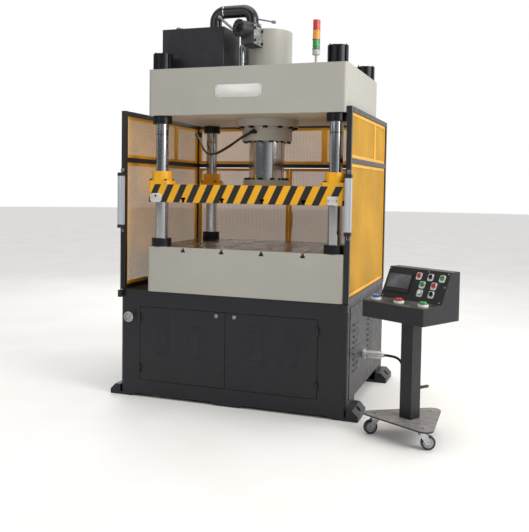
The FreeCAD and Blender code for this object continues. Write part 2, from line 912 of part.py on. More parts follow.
def make_tank():
    back = tank_front + tank_depth
    shell = rounded_box(tank_left, tank_right, tank_front, back, crown_top, tank_top, tank_corner)
    room = box(tank_left + tank_wall, tank_right - tank_wall, tank_front + tank_wall, back - tank_wall,
               crown_top + tank_wall, tank_top - tank_wall)
    hole = post(pipe_radius + fit_play, pipe_tank_x, pipe_y, tank_top - tank_wall - 1.0, tank_top + 1.0)
    return shell.cut([room, hole])


def suction_points():
    return [V(pipe_tank_x, pipe_y, tank_top - pipe_dip), V(pipe_tank_x, pipe_y, pipe_axis_height),
            V(valve_x, pipe_y, pipe_axis_height), V(valve_x, pipe_y, valve_top)]


def bent_pipe(points, radius, bend):
    edges = []
    start = points[0]
    for before, corner, after in zip(points, points[1:], points[2:]):
        into = (corner - before).normalize()
        out = (after - corner).normalize()
        arc_start = corner - into * bend
        arc_end = corner + out * bend
        centre = arc_start + out * bend
        middle = centre + (corner - centre).normalize() * bend
        edges.append(Part.LineSegment(start, arc_start).toShape())
        edges.append(Part.Arc(arc_start, middle, arc_end).toShape())
        start = arc_end
    edges.append(Part.LineSegment(start, points[-1]).toShape())
    section = Part.Wire([Part.makeCircle(radius, points[0], points[1] - points[0])])
    return Part.Wire(edges).makePipeShell([section], True, True)


def make_suction_pipe():
    points = suction_points()
    outside = bent_pipe(points, pipe_radius, pipe_bend)
    inside = bent_pipe(points, pipe_radius - pipe_wall, pipe_bend)
    return outside.cut(inside)


def make_valve():
    half = valve_width / 2.0
    body = box(valve_x - half, valve_x + half, valve_front, press_y, valve_bottom, valve_top)
    body = body.cut(post(barrel_radius, press_x, press_y, valve_bottom - 1.0, valve_top + 1.0))
    angle = math.radians(valve_cap_turn)
    outward = V(-math.sin(angle), -math.cos(angle), 0)
    root = V(valve_x, valve_front + half, valve_cap_height)
    cap = rod(valve_cap_radius, root, root + outward * valve_cap_length)
    rim = rod(valve_cap_radius + valve_rim_reach, root + outward * (valve_cap_length - valve_rim_length),
              root + outward * valve_cap_length)
    flange = pipe_piece(valve_flange_radius, pipe_radius + fit_play, valve_x, pipe_y,
                        valve_top, valve_top + valve_flange_height)
    port = post(pipe_radius - pipe_wall, valve_x, pipe_y, valve_bottom + valve_floor,
                valve_top + 1.0)
    clear = post(pipe_radius + fit_play, valve_x, pipe_y, valve_top, pipe_axis_height)
    return join([body, cap, rim, flange]).cut([port, clear])


def valve_cap_side(along):
    # A point on the round cover's left side, that far along its axis.
    angle = math.radians(valve_cap_turn)
    outward = V(-math.sin(angle), -math.cos(angle), 0)
    sideways = V(-math.cos(angle), math.sin(angle), 0)
    root = V(valve_x, valve_front + valve_width / 2.0, valve_cap_height)
    return root + outward * along + sideways * valve_cap_radius, sideways


def make_pilot_pipe():
    # From the elbow's inner side down to the side of the valve's round cover.
    foot, sideways = valve_cap_side(valve_cap_length / 2.0)
    corner = foot + sideways * (pilot_nut_length * 1.5)
    top = V(pipe_tank_x + pipe_radius * 0.8, pipe_y - pipe_radius * 0.7, pipe_axis_height - pipe_radius * 0.8)
    pipe = tube([top, corner, foot], pilot_radius)
    lower_nut = rod(pilot_nut_radius, foot, foot + sideways * pilot_nut_length)
    along = (corner - top).normalize()
    upper_nut = rod(pilot_nut_radius, top, top + along * pilot_nut_length)
    elbow = bent_pipe(suction_points(), pipe_radius, pipe_bend)
    cap = rod(valve_cap_radius, foot - sideways * valve_cap_radius,
              foot - sideways * valve_cap_radius + V(0, 0, 1.0))
    return join([pipe, lower_nut, upper_nut]).cut([elbow, make_valve(), cap])


def make_bleed_pipe():
    start = V(valve_x + pipe_radius - 2.0, pipe_y, bleed_height)
    end = start + V(bleed_reach, 0, -bleed_drop)
    along = (end - start).normalize()
    pipe = rod(bleed_radius, start, end)
    nut = rod(bleed_nut_radius, end - along * bleed_nut_length, end)
    return join([pipe, nut]).cut(bent_pipe(suction_points(), pipe_radius, pipe_bend))


def make_riser():
    # A plain pipe up from the crown and over into the valve's left side.
    route = [V(riser_x, riser_y, crown_top), V(riser_x, riser_y, riser_height),
             V(valve_x - valve_width / 2.0, riser_y, riser_height)]
    return bent_pipe(route, riser_radius, riser_bend)


def make_breather():
    neck = post(breather_radius, breather_x, breather_y, tank_top, tank_top + breather_neck)
    cap = post(breather_cap_radius, breather_x, breather_y, tank_top + breather_neck,
               tank_top + breather_neck + breather_cap_height)
    return join([neck, cap])


def make_power_unit():
    end = motor_x + motor_length
    axis_start = V(motor_x, motor_y, motor_height)
    motor = rod(motor_radius, axis_start, V(end, motor_y, motor_height))
    feet = box(motor_x + motor_foot_inset, end - motor_foot_inset, motor_y - motor_foot_half,
               motor_y + motor_foot_half, floor_level + cabinet_wall, motor_height - motor_foot_inset)
    pump = rod(pump_radius, V(end, motor_y, motor_height), V(end + pump_length, motor_y, motor_height))
    return group([join([motor, feet]), pump])


def make_tower_stem():
    foot_top_z = crown_top + tower_foot_height
    base = crown_top + tower_pole_height
    foot = post(tower_foot_radius, tower_x, tower_y, crown_top, foot_top_z)
    pole = post(tower_pole_radius, tower_x, tower_y, crown_top, base)
    can = post(tower_radius, tower_x, tower_y, base, base + tower_base_height)
    return join([foot, pole, can])


def make_tower_lens(index):
    z0 = crown_top + tower_pole_height + tower_base_height + index * tower_lens_height
    z1 = z0 + tower_lens_height
    lens = post(tower_radius, tower_x, tower_y, z0, z1)
    room = post(tower_radius - tower_lens_wall, tower_x, tower_y, z0 - 1.0, z1 - tower_lens_wall)
    return lens.cut(room)


# ---- slide ----
def make_slide():
    front = press_y - bed_depth / 2.0
    back = press_y + bed_depth / 2.0
    holes = [post(bush_seat_radius + fit_play, x, y, slide_bottom - 1.0, slide_top + 1.0)
             for x, y in column_places()]
    bush_thread = slide_top - bush_bolt_grip - thread_room
    rod_thread = slide_top - rod_bolt_grip - thread_room
    holes += [post(bush_bolt_radius + fit_play, x, y, bush_thread, slide_top + 1.0)
              for x, y in bush_bolt_places()]
    holes += [post(rod_bolt_radius + fit_play, x, y, rod_thread, slide_top + 1.0)
              for x, y in rod_bolt_places()]
    plate = block(slide_bottom, slide_height)
    return plate.cut(holes + t_slots(front, back, slide_bottom, 1))


def bush_bolt_places():
    places = []
    for x, y in column_places():
        places += circle_places(x, y, bush_bolt_circle, bush_bolt_count, bush_bolt_first)
    return places


def rod_bolt_places():
    return circle_places(press_x, press_y, rod_bolt_circle, rod_bolt_count, rod_bolt_first)


def make_bushes():
    bushes = []
    for x, y in column_places():
        seat = post(bush_seat_radius, x, y, slide_bottom + bush_recess, slide_top)
        sleeve = post(bush_radius, x, y, slide_top, slide_top + bush_height)
        sleeve = sleeve.common(block(slide_top, bush_height))
        flange = post(bush_flange_radius, x, y, slide_top, slide_top + bush_flange_height)
        flange = flange.common(block(slide_top, bush_flange_height))
        bore = post(column_radius + run_play, x, y, slide_bottom, slide_top + bush_height + 1.0)
        holes = [post(bush_bolt_radius + bolt_hole_play, px, py, slide_top - 1.0,
                      slide_top + bush_flange_height + 1.0)
                 for px, py in circle_places(x, y, bush_bolt_circle, bush_bolt_count, bush_bolt_first)]
        bushes.append(join([seat, sleeve, flange]).cut([bore] + holes))
    return group(bushes)


def make_slide_bolts():
    bolts = [hex_bolt(x, y, slide_top + bush_flange_height, bush_bolt_head, bush_bolt_head_height,
                      bush_bolt_radius, bush_flange_height + bush_bolt_grip, 1)
             for x, y in bush_bolt_places()]
    bolts += [hex_bolt(x, y, rod_flange_top, rod_bolt_head, rod_bolt_head_height,
                       rod_bolt_radius, rod_flange_height + rod_bolt_grip, 1)
              for x, y in rod_bolt_places()]
    return group(bolts)


def make_piston_rod():
    shaft = post(rod_radius, press_x, press_y, slide_top, piston_rest + piston_height)
    head = post(barrel_bore - run_play, press_x, press_y, piston_rest, piston_rest + piston_height)
    return join([shaft, head])


def make_rod_flange():
    ring = pipe_piece(rod_flange_radius, rod_radius + fit_play, press_x, press_y, slide_top, rod_flange_top)
    holes = [post(rod_bolt_radius + bolt_hole_play, x, y, slide_top - 1.0, rod_flange_top + 1.0)
             for x, y in rod_bolt_places()]
    return ring.cut(holes)


# ---- guard ----
def make_guard_frame(hinge_halves):
    t = guard_tube
    posts = [box(x, x + t, y, y + t, cabinet_top, guard_top)
             for x in (-side_x, guard_inner_x) for y in (front_y, guard_inner_back)]
    rails = []
    for z0 in (cabinet_top, guard_mid - t / 2.0, guard_rail_top):
        for x in (-side_x, guard_inner_x):
            rails.append(box(x, x + t, guard_inner_front, guard_inner_back, z0, z0 + t))
        rails.append(box(-guard_inner_x, guard_inner_x, guard_inner_back, back_y, z0, z0 + t))
    return join(posts + rails + hinge_halves)


def panel_rim(width, height):
    # A folded frame, lying in y = 0 with its corner at the origin.
    rim = box(0, width, -panel_frame_depth / 2, panel_frame_depth / 2, 0, height)
    window = box(panel_frame, width - panel_frame, -panel_frame_depth, panel_frame_depth,
                 panel_frame, height - panel_frame)
    return rim.cut(window)


def panel_sheet(width, height):
    # The thin mesh sheet that fills the rim's window.
    return box(panel_frame, width - panel_frame, -panel_wall / 2, panel_wall / 2,
               panel_frame, height - panel_frame)


def mesh_panel(width, height):
    return join([panel_rim(width, height), panel_sheet(width, height)])


def side_panels(side):
    # Two upper panels that meet at the seam, and one lower panel.
    low = guard_rail_bottom + panel_play
    mid_low = guard_mid - guard_tube / 2.0
    mid_high = guard_mid + guard_tube / 2.0
    y0 = guard_inner_front + panel_play
    y1 = guard_inner_back - panel_play
    spans = [(y0, guard_side_seam - 1.0, mid_high + panel_play, guard_rail_top - panel_play),
             (guard_side_seam + 1.0, y1, mid_high + panel_play, guard_rail_top - panel_play),
             (y0, y1, low, mid_low - panel_play)]
    panels = []
    for start, end, z0, z1 in spans:
        panel = mesh_panel(end - start, z1 - z0)
        panel.rotate(V(0, 0, 0), V(0, 0, 1), 90.0)
        panel.translate(V(side * (side_x - guard_tube / 2.0), start, z0))
        panels.append(panel)
    return panels


def back_panels():
    z0 = guard_mid + guard_tube / 2.0 + panel_play
    z1 = guard_rail_top - panel_play
    panels = []
    for start, end in ((-guard_inner_x + panel_play, guard_back_seam - 1.0),
                       (guard_back_seam + 1.0, guard_inner_x - panel_play)):
        panel = mesh_panel(end - start, z1 - z0)
        panel.translate(V(start, back_y - guard_tube / 2.0, z0))
        panels.append(panel)
    return panels


def rear_hinges():
    fixed = []
    moving = {-1: [], 1: []}
    y = back_y + hinge_radius
    for z in (guard_rail_bottom + rear_hinge_low, guard_mid - rear_hinge_high):
        for side in (-1, 1):
            x = side * (guard_inner_x - rear_door_gap / 2.0)
            still, turning = hinge(x, y, z, -side, -1.0)
            fixed.append(still)
            moving[side].append(turning)
    return fixed, moving


def rear_door_span(side):
    # The door's two edges in X, its bottom and its top.
    z0 = guard_rail_bottom + rear_door_gap
    z1 = guard_mid - guard_tube / 2.0 - rear_door_gap
    if side < 0:
        return -guard_inner_x + rear_door_gap, guard_door_seam - rear_door_gap / 2.0, z0, z1
    return guard_door_seam + rear_door_gap / 2.0, guard_inner_x - rear_door_gap, z0, z1


def place_rear(shape, side):
    x0, x1, z0, z1 = rear_door_span(side)
    shape.translate(V(x0, back_y - panel_frame_depth / 2.0, z0))
    return shape


def make_rear_door(side, hinge_halves):
    x0, x1, z0, z1 = rear_door_span(side)
    return join([place_rear(panel_rim(x1 - x0, z1 - z0), side)] + hinge_halves)


def make_rear_mesh(side):
    x0, x1, z0, z1 = rear_door_span(side)
    return place_rear(panel_sheet(x1 - x0, z1 - z0), side)


def make_rear_handle(side):
    # A bent bar that stands on the door's rim beside the seam.
    x0, x1, z0, z1 = rear_door_span(side)
    meeting = x1 if side < 0 else x0
    x = meeting + side * panel_frame / 2.0
    z = (z0 + z1) / 2.0
    far = back_y + handle_reach
    route = [V(x, back_y, z - handle_half), V(x, far, z - handle_half),
             V(x, far, z + handle_half), V(x, back_y, z + handle_half)]
    return bent_pipe(route, handle_radius, handle_bend)


def curtain_x(side):
    return side * (side_x - guard_tube / 2.0 + curtain_offset)


def make_curtains():
    bars = []
    for side in (-1, 1):
        x = curtain_x(side)
        bars.append(rounded_box(x - curtain_width / 2, x + curtain_width / 2, front_y - curtain_depth,
                                front_y, curtain_bottom, curtain_bottom + curtain_height,
                                curtain_corner))
    return group(bars)


def make_cable_glands():
    # The two light-curtain cables and their entries at the cabinet's front
    # corners, and the entry at the foot of the console's post.
    y = front_y - curtain_depth / 2.0
    pieces = [post(curtain_cable_radius, curtain_x(side), y, curtain_gland_top, curtain_bottom)
              for side in (-1, 1)]
    half = curtain_gland / 2.0
    for side in (-1, 1):
        x = curtain_x(side)
        pieces.append(box(x - half, x + half, y - half, front_y, curtain_gland_top - curtain_gland_height,
                          curtain_gland_top))
    inner = console_point(0.0, post_side / 2.0, stand_gland_height)
    outer = console_point(0.0, post_side / 2.0 + gland_nose_length, stand_gland_height)
    pieces.append(rod(gland_nose_radius, inner, outer))
    return group(pieces)


# ---- console ----
def console_point(u, y, z):
    angle = math.radians(console_turn)
    return V(console_x + u * math.cos(angle) - y * math.sin(angle),
             console_y + u * math.sin(angle) + y * math.cos(angle), z)


def to_console(shape):
    turned = shape.copy()
    turned.rotate(V(0, 0, 0), V(0, 0, 1), console_turn)
    turned.translate(V(console_x, console_y, 0))
    return turned


def panel_angle():
    return math.atan2(console_height - console_crease_height, console_crest - console_crease)


def panel_point(u, v, out):
    # u across the sloping panel, v up it from the crease, out along its normal.
    slope = panel_angle()
    y = console_crease + v * math.cos(slope) - out * math.sin(slope)
    z = console_crease_height + v * math.sin(slope) + out * math.cos(slope)
    return V(u, y, z)


def ledge_angle():
    return math.atan2(console_crease_height - console_lip, console_crease - console_front)


def ledge_point(u, v, out):
    slope = ledge_angle()
    y = console_front + v * math.cos(slope) - out * math.sin(slope)
    z = console_lip + v * math.sin(slope) + out * math.cos(slope)
    return V(u, y, z)


def side_normal(start, end):
    # Into a closed outline that runs clockwise, as unit lengths along y and z.
    dy = end[0] - start[0]
    dz = end[1] - start[1]
    length = math.hypot(dy, dz)
    return dz / length, -dy / length


def inset_outline(points, inset):
    # Every side of the outline moved in by the same amount.
    moved = []
    for index, point in enumerate(points):
        first = side_normal(points[index - 1], point)
        second = side_normal(point, points[(index + 1) % len(points)])
        share = inset / (1.0 + first[0] * second[0] + first[1] * second[1])
        moved.append((point[0] + (first[0] + second[0]) * share,
                      point[1] + (first[1] + second[1]) * share))
    return moved


def console_block(inset):
    outline = [(console_front, console_bottom), (console_front, console_lip),
               (console_crease, console_crease_height), (console_crest, console_height),
               (console_back, console_height), (console_back, console_bottom)]
    half = console_width / 2.0 - inset
    points = [V(-half, y, z) for y, z in inset_outline(outline, inset)]
    return prism(points, V(2.0 * half, 0, 0))


def make_console_box():
    shape = console_block(0.0).cut(console_block(console_wall))
    holes = []
    for u, v in button_places.values():
        holes.append(rod(button_radius + button_play, panel_point(u, v, -button_stem),
                         panel_point(u, v, button_proud)))
    for u in palm_places.values():
        holes.append(rod(palm_stem_radius + button_play, ledge_point(u, palm_line, -button_stem),
                         ledge_point(u, palm_line, palm_gap)))
    inner = post_side / 2.0 - post_wall
    holes.append(box(-inner, inner, -inner, inner, console_bottom - 1.0, console_bottom + console_wall + 1.0))
    return to_console(shape.cut(holes))


def make_screen():
    half_u = screen_width / 2.0
    half_v = screen_height / 2.0
    corners = [panel_point(screen_centre_u + su * half_u, screen_centre_v + sv * half_v, 0.0)
               for su, sv in ((-1, -1), (1, -1), (1, 1), (-1, 1))]
    normal = panel_point(0, 0, screen_proud) - panel_point(0, 0, 0.0)
    return to_console(prism(corners, normal))


def make_button(u, v):
    return to_console(rod(button_radius, panel_point(u, v, -button_stem), panel_point(u, v, button_proud)))


def make_selector(u, v):
    # A round collar with a straight grip bar across it.
    knob = rod(button_radius, panel_point(u, v, -button_stem), panel_point(u, v, selector_collar))
    reach = 0.75 * button_radius
    corners = [panel_point(u + su * selector_half, v + sv * reach, selector_collar)
               for su, sv in ((-1, -1), (1, -1), (1, 1), (-1, 1))]
    bar = prism(corners, panel_point(0, 0, selector_proud) - panel_point(0, 0, 0.0))
    return to_console(join([knob, bar]))


def make_palm(u):
    stem = rod(palm_stem_radius, ledge_point(u, palm_line, -button_stem), ledge_point(u, palm_line, palm_gap))
    head = rod(palm_radius, ledge_point(u, palm_line, palm_gap), ledge_point(u, palm_line, palm_proud))
    middle = ledge_point(u, palm_line, (palm_gap + palm_proud) / 2.0)
    rim = [edge for edge in head.Edges if edge.BoundBox.ZMin > middle.z]
    head = head.makeFillet(palm_edge, rim[:1])
    return to_console(join([stem, head]))


def stand_plate_shape():
    # A triangle with large round corners, one leg to the back and two in front.
    reach = stand_reach - stand_corner
    places = [(reach * math.cos(math.radians(a)), reach * math.sin(math.radians(a)))
              for a in caster_angles]
    z0 = stand_top - stand_plate
    discs = [post(stand_corner, x, y, z0, stand_top) for x, y in places]
    bars = []
    for first, second in ((0, 1), (1, 2), (2, 0)):
        a = V(places[first][0], places[first][1], z0)
        b = V(places[second][0], places[second][1], z0)
        along = (b - a).normalize()
        across = V(along.y, -along.x, 0) * stand_corner
        bars.append(prism([a, b, b + across, a + across], V(0, 0, stand_plate)))
    core = prism([V(x, y, z0) for x, y in places], V(0, 0, stand_plate))
    return join([core] + bars + discs)


def caster_places():
    return [console_point(caster_circle * math.cos(math.radians(a)),
                          caster_circle * math.sin(math.radians(a)), 0.0)
            for a in caster_angles]


def make_stand():
    half = post_side / 2.0
    inner = half - post_wall
    upright = box(-half, half, -half, half, stand_top, console_bottom)
    upright = upright.cut(box(-inner, inner, -inner, inner, stand_top - 1.0, console_bottom + 1.0))
    stand = to_console(join([stand_plate_shape(), upright]))
    holes = [post(caster_stem + caster_stem_play, place.x, place.y, stand_top - stand_plate - 1.0,
                  stand_top + 1.0) for place in caster_places()]
    return stand.cut(holes)


def caster_fork(place, heading):
    # Drawn trailing towards +X from its swivel, then turned to its heading.
    inner = wheel_width / 2.0 + fork_play
    outer = inner + fork_wall
    crown_z = fork_top - fork_wall
    end_z = wheel_radius - fork_end_drop
    stem = post(caster_stem, 0, 0, fork_top, stand_top + caster_stem_proud)
    race = post(caster_race_radius, 0, 0, fork_top, fork_top + caster_race_height)
    bridge = box(-fork_half, caster_offset, -outer, outer, crown_z, fork_top)
    cheeks = []
    for side in (-1, 1):
        y0 = side * inner
        cheeks.append(prism([V(-fork_half, y0, crown_z), V(fork_half, y0, crown_z),
                             V(caster_offset + fork_end_half, y0, end_z),
                             V(caster_offset - fork_end_half, y0, end_z)],
                            V(0, side * fork_wall, 0)))
    axle = rod(axle_radius, V(caster_offset, -outer - axle_proud, wheel_radius),
               V(caster_offset, outer + axle_proud, wheel_radius))
    fork = join([stem, race, bridge, axle] + cheeks)
    fork.rotate(V(0, 0, 0), V(0, 0, 1), heading)
    fork.translate(place)
    return fork


def caster_wheel(place, heading):
    half = wheel_width / 2.0
    disc = rod(wheel_radius, V(caster_offset, -half, wheel_radius), V(caster_offset, half, wheel_radius))
    rims = [edge for edge in disc.Edges if edge.Length > 2.0 * wheel_radius * math.pi - 1.0]
    disc = disc.makeFillet(tread_edge, rims)
    bore = rod(axle_radius + run_play, V(caster_offset, -half - 1.0, wheel_radius),
               V(caster_offset, half + 1.0, wheel_radius))
    wheel = disc.cut(bore)
    wheel.rotate(V(0, 0, 0), V(0, 0, 1), heading)
    wheel.translate(place)
    return wheel


# ---- hose, cables, sockets ----
def make_hose_fittings():
    # A banjo on the gland, and the bulkhead block on the guard's rear post.
    angle = math.radians(hose_fitting_turn)
    outward = V(math.cos(angle), math.sin(angle), 0)
    nose = hose_points[0]
    seat = V(press_x, press_y, nose.z + hose_fitting_root) + outward * gland_radius
    stub = rod(hose_fitting_radius, seat - outward * hose_fitting_root, seat + outward * hose_fitting_reach)
    direction = (nose - hose_points[1]).normalize()
    ferrule = rod(hose_radius + hose_ferrule_wall, nose, nose + direction * hose_fitting_length)
    end = hose_points[-1]
    clip = box(-guard_inner_x, end.x + hose_clip_width, end.y, end.y + hose_clip_length,
               end.z - hose_clip_half, end.z + hose_clip_half)
    banjo = join([stub, ferrule]).cut(post(gland_radius, press_x, press_y, gland_bottom, flange_bottom))
    return group([banjo, clip])


def make_socket():
    start = V(side_x + cover_wall, socket_y, socket_z)
    body = rod(socket_radius, start, start + V(socket_length, 0, 0))
    collar = rod(socket_radius + socket_collar_reach, start, start + V(socket_collar_length, 0, 0))
    front = start + V(socket_length, 0, 0)
    nose = rod(gland_nose_radius, front, front + V(socket_nose_length, 0, 0))
    back = rod(socket_back_radius, V(side_x - 1.0, socket_y, socket_z), start + V(1.0, 0, 0))
    return join([body, collar, nose, back])


def main():
    os.makedirs("parts", exist_ok=True)
    front_fixed, front_moving = front_hinges()
    rear_fixed, rear_moving = rear_hinges()
    middle = door_gap / 2.0
    save("cabinet", make_cabinet(front_fixed))
    save("foot_pads", make_feet())
    save("door_left", make_door(door_left_x, door_meeting_x - middle,
                                [door_meeting_x - offset for offset in front_louvre_offsets],
                                front_moving["left"]))
    save("door_right", make_door(door_meeting_x + middle, door_right_x,
                                 [door_meeting_x + offset for offset in front_louvre_offsets],
                                 front_moving["right"]))
    save("covers", group([make_side_cover(-1), make_side_cover(1), make_rear_cover()]))
    save("gauge_case", make_gauge())
    save("gauge_needle", make_needle())
    save("bed", make_bed())
    save("columns", make_columns())
    save("column_nuts", group(make_collars() + make_nuts()))
    save("crown", make_crown())
    save("cylinder", group([make_barrel(), make_gland()]))
    save("cylinder_bolts", make_cylinder_bolts())
    save("oil_tank", make_tank())
    save("suction_pipe", make_suction_pipe())
    save("filling_valve", make_valve())
    save("oil_fittings", group([make_pilot_pipe(), make_bleed_pipe(), make_riser(), make_breather()]))
    save("power_unit", make_power_unit())
    save("tower_stem", make_tower_stem())
    for index, colour in enumerate(("green", "amber", "red")):
        save("tower_" + colour, make_tower_lens(index))
    save("slide_plate", make_slide())
    save("guide_bushes", make_bushes())
    save("slide_bolts", make_slide_bolts())
    save("piston_rod", make_piston_rod())
    save("rod_flange", make_rod_flange())
    save("guard_frame", make_guard_frame(rear_fixed))
    save("guard_panels", group(side_panels(-1) + side_panels(1) + back_panels()))
    for name, side in (("left", -1), ("right", 1)):
        save("rear_door_" + name, make_rear_door(side, rear_moving[side]))
        save("rear_mesh_" + name, make_rear_mesh(side))
        save("rear_handle_" + name, make_rear_handle(side))
    save("light_curtains", make_curtains())
    save("cable_glands", make_cable_glands())
    save("pressure_hose", tube(hose_points, hose_radius, "pressure_hose"))
    save("hose_fittings", make_hose_fittings())
    save("console_box", make_console_box())
    save("console_screen", make_screen())
    save("console_stand", make_stand())
    for name, (u, v) in button_places.items():
        save(name, make_selector(u, v) if name.startswith("selector") else make_button(u, v))
    for name, u in palm_places.items():
        save(name, make_palm(u))
    for name, heading, place in zip(caster_names, caster_headings, caster_places()):
        save("caster_fork_" + name, caster_fork(place, heading))
        save("caster_wheel_" + name, caster_wheel(place, heading))
    save("cable_socket", make_socket())
    save("console_cable", tube(cable_points, cable_radius, "console_cable"))


main()
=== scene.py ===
import math

import bpy
import numpy as np
from mathutils import Matrix, Vector


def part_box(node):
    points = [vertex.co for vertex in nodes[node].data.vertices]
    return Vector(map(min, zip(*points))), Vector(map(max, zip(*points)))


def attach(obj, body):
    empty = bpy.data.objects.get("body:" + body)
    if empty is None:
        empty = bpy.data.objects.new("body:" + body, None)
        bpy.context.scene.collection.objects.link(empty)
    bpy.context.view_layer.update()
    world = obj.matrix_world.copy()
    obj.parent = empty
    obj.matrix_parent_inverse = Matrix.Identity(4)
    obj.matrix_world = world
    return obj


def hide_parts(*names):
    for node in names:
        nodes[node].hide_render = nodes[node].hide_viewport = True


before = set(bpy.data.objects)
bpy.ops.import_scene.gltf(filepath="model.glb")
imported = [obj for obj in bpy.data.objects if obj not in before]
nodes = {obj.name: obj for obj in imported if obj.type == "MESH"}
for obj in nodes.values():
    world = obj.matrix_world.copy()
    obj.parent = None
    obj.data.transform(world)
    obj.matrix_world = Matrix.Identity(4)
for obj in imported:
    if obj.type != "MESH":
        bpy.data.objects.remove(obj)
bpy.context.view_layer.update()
print("press loaded,", len(nodes), "parts")


def gridFaces(rows, columns, closeRows=False):
    # quads between each point of a grid and its next neighbours; the columns always close round
    r = np.arange(rows if closeRows else rows - 1)[:, None]
    c = np.arange(columns)[None, :]
    r2, c2 = (r + 1) % rows, (c + 1) % columns
    corners = [r * columns + c, r * columns + c2, r2 * columns + c2, r2 * columns + c]
    return np.stack([k + 0 * r + 0 * c for k in corners], -1).reshape(-1, 4)


def capped(rings, around):
    # a stack of rings, each with the same number of points, closed flat at both ends
    count = len(rings) // around
    ends = [np.arange(around)[::-1][None], (np.arange(around) + around * (count - 1))[None]]
    return rings, [gridFaces(count, around)] + ends


def turned(profile, around=40, closed=False):
    # profile holds (radius, height); the point at angle a is (radius cos a, radius sin a, height)
    profile = np.array(profile, float)
    a = np.arange(around) * 2 * math.pi / around
    rings = np.stack([profile[:, :1] * np.cos(a), profile[:, :1] * np.sin(a),
                      profile[:, 1:] + 0 * a], -1).reshape(-1, 3)
    if closed:
        return rings, [gridFaces(len(profile), around, closeRows=True)]
    return capped(rings, around)


def roundedOutline(width, height, radius, steps):
    # four quarter arcs of one radius about the corner centres, joined by straight sides
    a = np.radians(np.arange(4)[:, None] * 90 + np.linspace(0, 90, steps))
    x = np.array([1, -1, -1, 1])[:, None] * (width / 2 - radius) + radius * np.cos(a)
    y = np.array([1, 1, -1, -1])[:, None] * (height / 2 - radius) + radius * np.sin(a)
    return np.stack([x, y], -1).reshape(-1, 2)


def slab(width, height, radius, levels, steps=5, closed=False):
    # each level is (inset, height): the outline shrinks by the inset and lies at that height
    rings = []
    for inset, lift in levels:
        outline = roundedOutline(width - 2 * inset, height - 2 * inset, max(radius - inset, 1e-4), steps)
        rings.append(np.column_stack([outline, np.full(len(outline), lift)]))
    around = 4 * steps
    if closed:
        return np.concatenate(rings), [gridFaces(len(rings), around, closeRows=True)]
    return capped(np.concatenate(rings), around)


def softEdge(thickness, edge):
    # side, then a quarter of a round edge, as levels for slab
    a = np.linspace(0, math.pi / 2, 4)
    return [(0, 0)] + list(zip(edge * (1 - np.cos(a)), thickness - edge + edge * np.sin(a)))


def placed(shell, origin, u=(1, 0, 0), v=(0, 1, 0), w=(0, 0, 1)):
    # each point becomes origin + x u + y v + z w
    points, faces = shell
    return points @ np.array([u, v, w], float) + np.array(origin, float), faces


def gather(shells):
    # several closed shells as one set of points and faces
    points, faces, first = [], [], 0
    for somePoints, someFaces in shells:
        points.append(somePoints)
        faces += [face + first for face in someFaces]
        first += len(somePoints)
    return np.concatenate(points), faces


sharpAngle = math.radians(35)


def putMesh(name, shell, material, body=None):
    # the volume is the sum of the cones from the origin to each face; if negative, faces are turned
    points, faces = shell
    volume = 0.0
    for face in faces:
        for k in range(1, face.shape[1] - 1):
            a, b, c = points[face[:, 0]], points[face[:, k]], points[face[:, k + 1]]
            volume += np.einsum("ij,ij->", a, np.cross(b, c))
    if volume < 0:
        faces = [face[:, ::-1] for face in faces]
    sizes = np.concatenate([np.full(len(face), face.shape[1]) for face in faces])
    corners = np.concatenate([face.ravel() for face in faces]).astype(np.int32)
    mesh = bpy.data.meshes.new(name)
    mesh.vertices.add(len(points))
    mesh.vertices.foreach_set("co", points.astype(np.float32).ravel())
    mesh.loops.add(len(corners))
    mesh.loops.foreach_set("vertex_index", corners)
    mesh.polygons.add(len(sizes))
    mesh.polygons.foreach_set("loop_start", (np.cumsum(sizes) - sizes).astype(np.int32))
    mesh.update(calc_edges=True)
    mesh.validate()
    mesh.shade_smooth()
    mesh.set_sharp_from_angle(angle=sharpAngle)
    mesh.materials.append(material)
    piece = bpy.data.objects.new(name, mesh)
    bpy.context.scene.collection.objects.link(piece)
    if body:
        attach(piece, body)
    return piece


def tint(code):
    # a colour written as six hex digits, turned to linear light
    c = np.array([int(code[i:i + 2], 16) for i in (0, 2, 4)]) / 255
    c = np.where(c < 0.04045, c / 12.92, ((c + 0.055) / 1.055) ** 2.4)
    return (*[float(x) for x in c], 1.0)


def addNode(tree, kind, values=None, **settings):
    # values go to the inputs: a socket is linked, anything else is set
    node = tree.nodes.new(kind)
    for key, value in settings.items():
        setattr(node, key, value)
    for key, value in (values or {}).items():
        if isinstance(value, bpy.types.NodeSocket):
            tree.links.new(value, node.inputs[key])
        else:
            node.inputs[key].default_value = value
    return node


def maths(tree, operation, a, b=0.0, c=0.0):
    return addNode(tree, "ShaderNodeMath", {0: a, 1: b, 2: c}, operation=operation).outputs[0]


def mixColour(tree, factor, first, second, blend="MIX"):
    node = addNode(tree, "ShaderNodeMix", {0: factor, 6: first, 7: second},
                   data_type="RGBA", blend_type=blend)
    return node.outputs[2]


def mixValue(tree, factor, first, second):
    return addNode(tree, "ShaderNodeMix", {0: factor, 2: first, 3: second}, data_type="FLOAT").outputs[0]


def noise(tree, scale, detail=3.0, stretch=None):
    where = addNode(tree, "ShaderNodeTexCoord").outputs["Object"]
    if stretch:
        where = addNode(tree, "ShaderNodeMapping", {"Vector": where, "Scale": stretch}).outputs[0]
    return addNode(tree, "ShaderNodeTexNoise",
                   {"Vector": where, "Scale": scale, "Detail": detail}).outputs[0]


def ramp(tree, value, low, high, toLow=0.0, toHigh=1.0):
    return addNode(tree, "ShaderNodeMapRange",
                   {0: value, 1: low, 2: high, 3: toLow, 4: toHigh}).outputs[0]


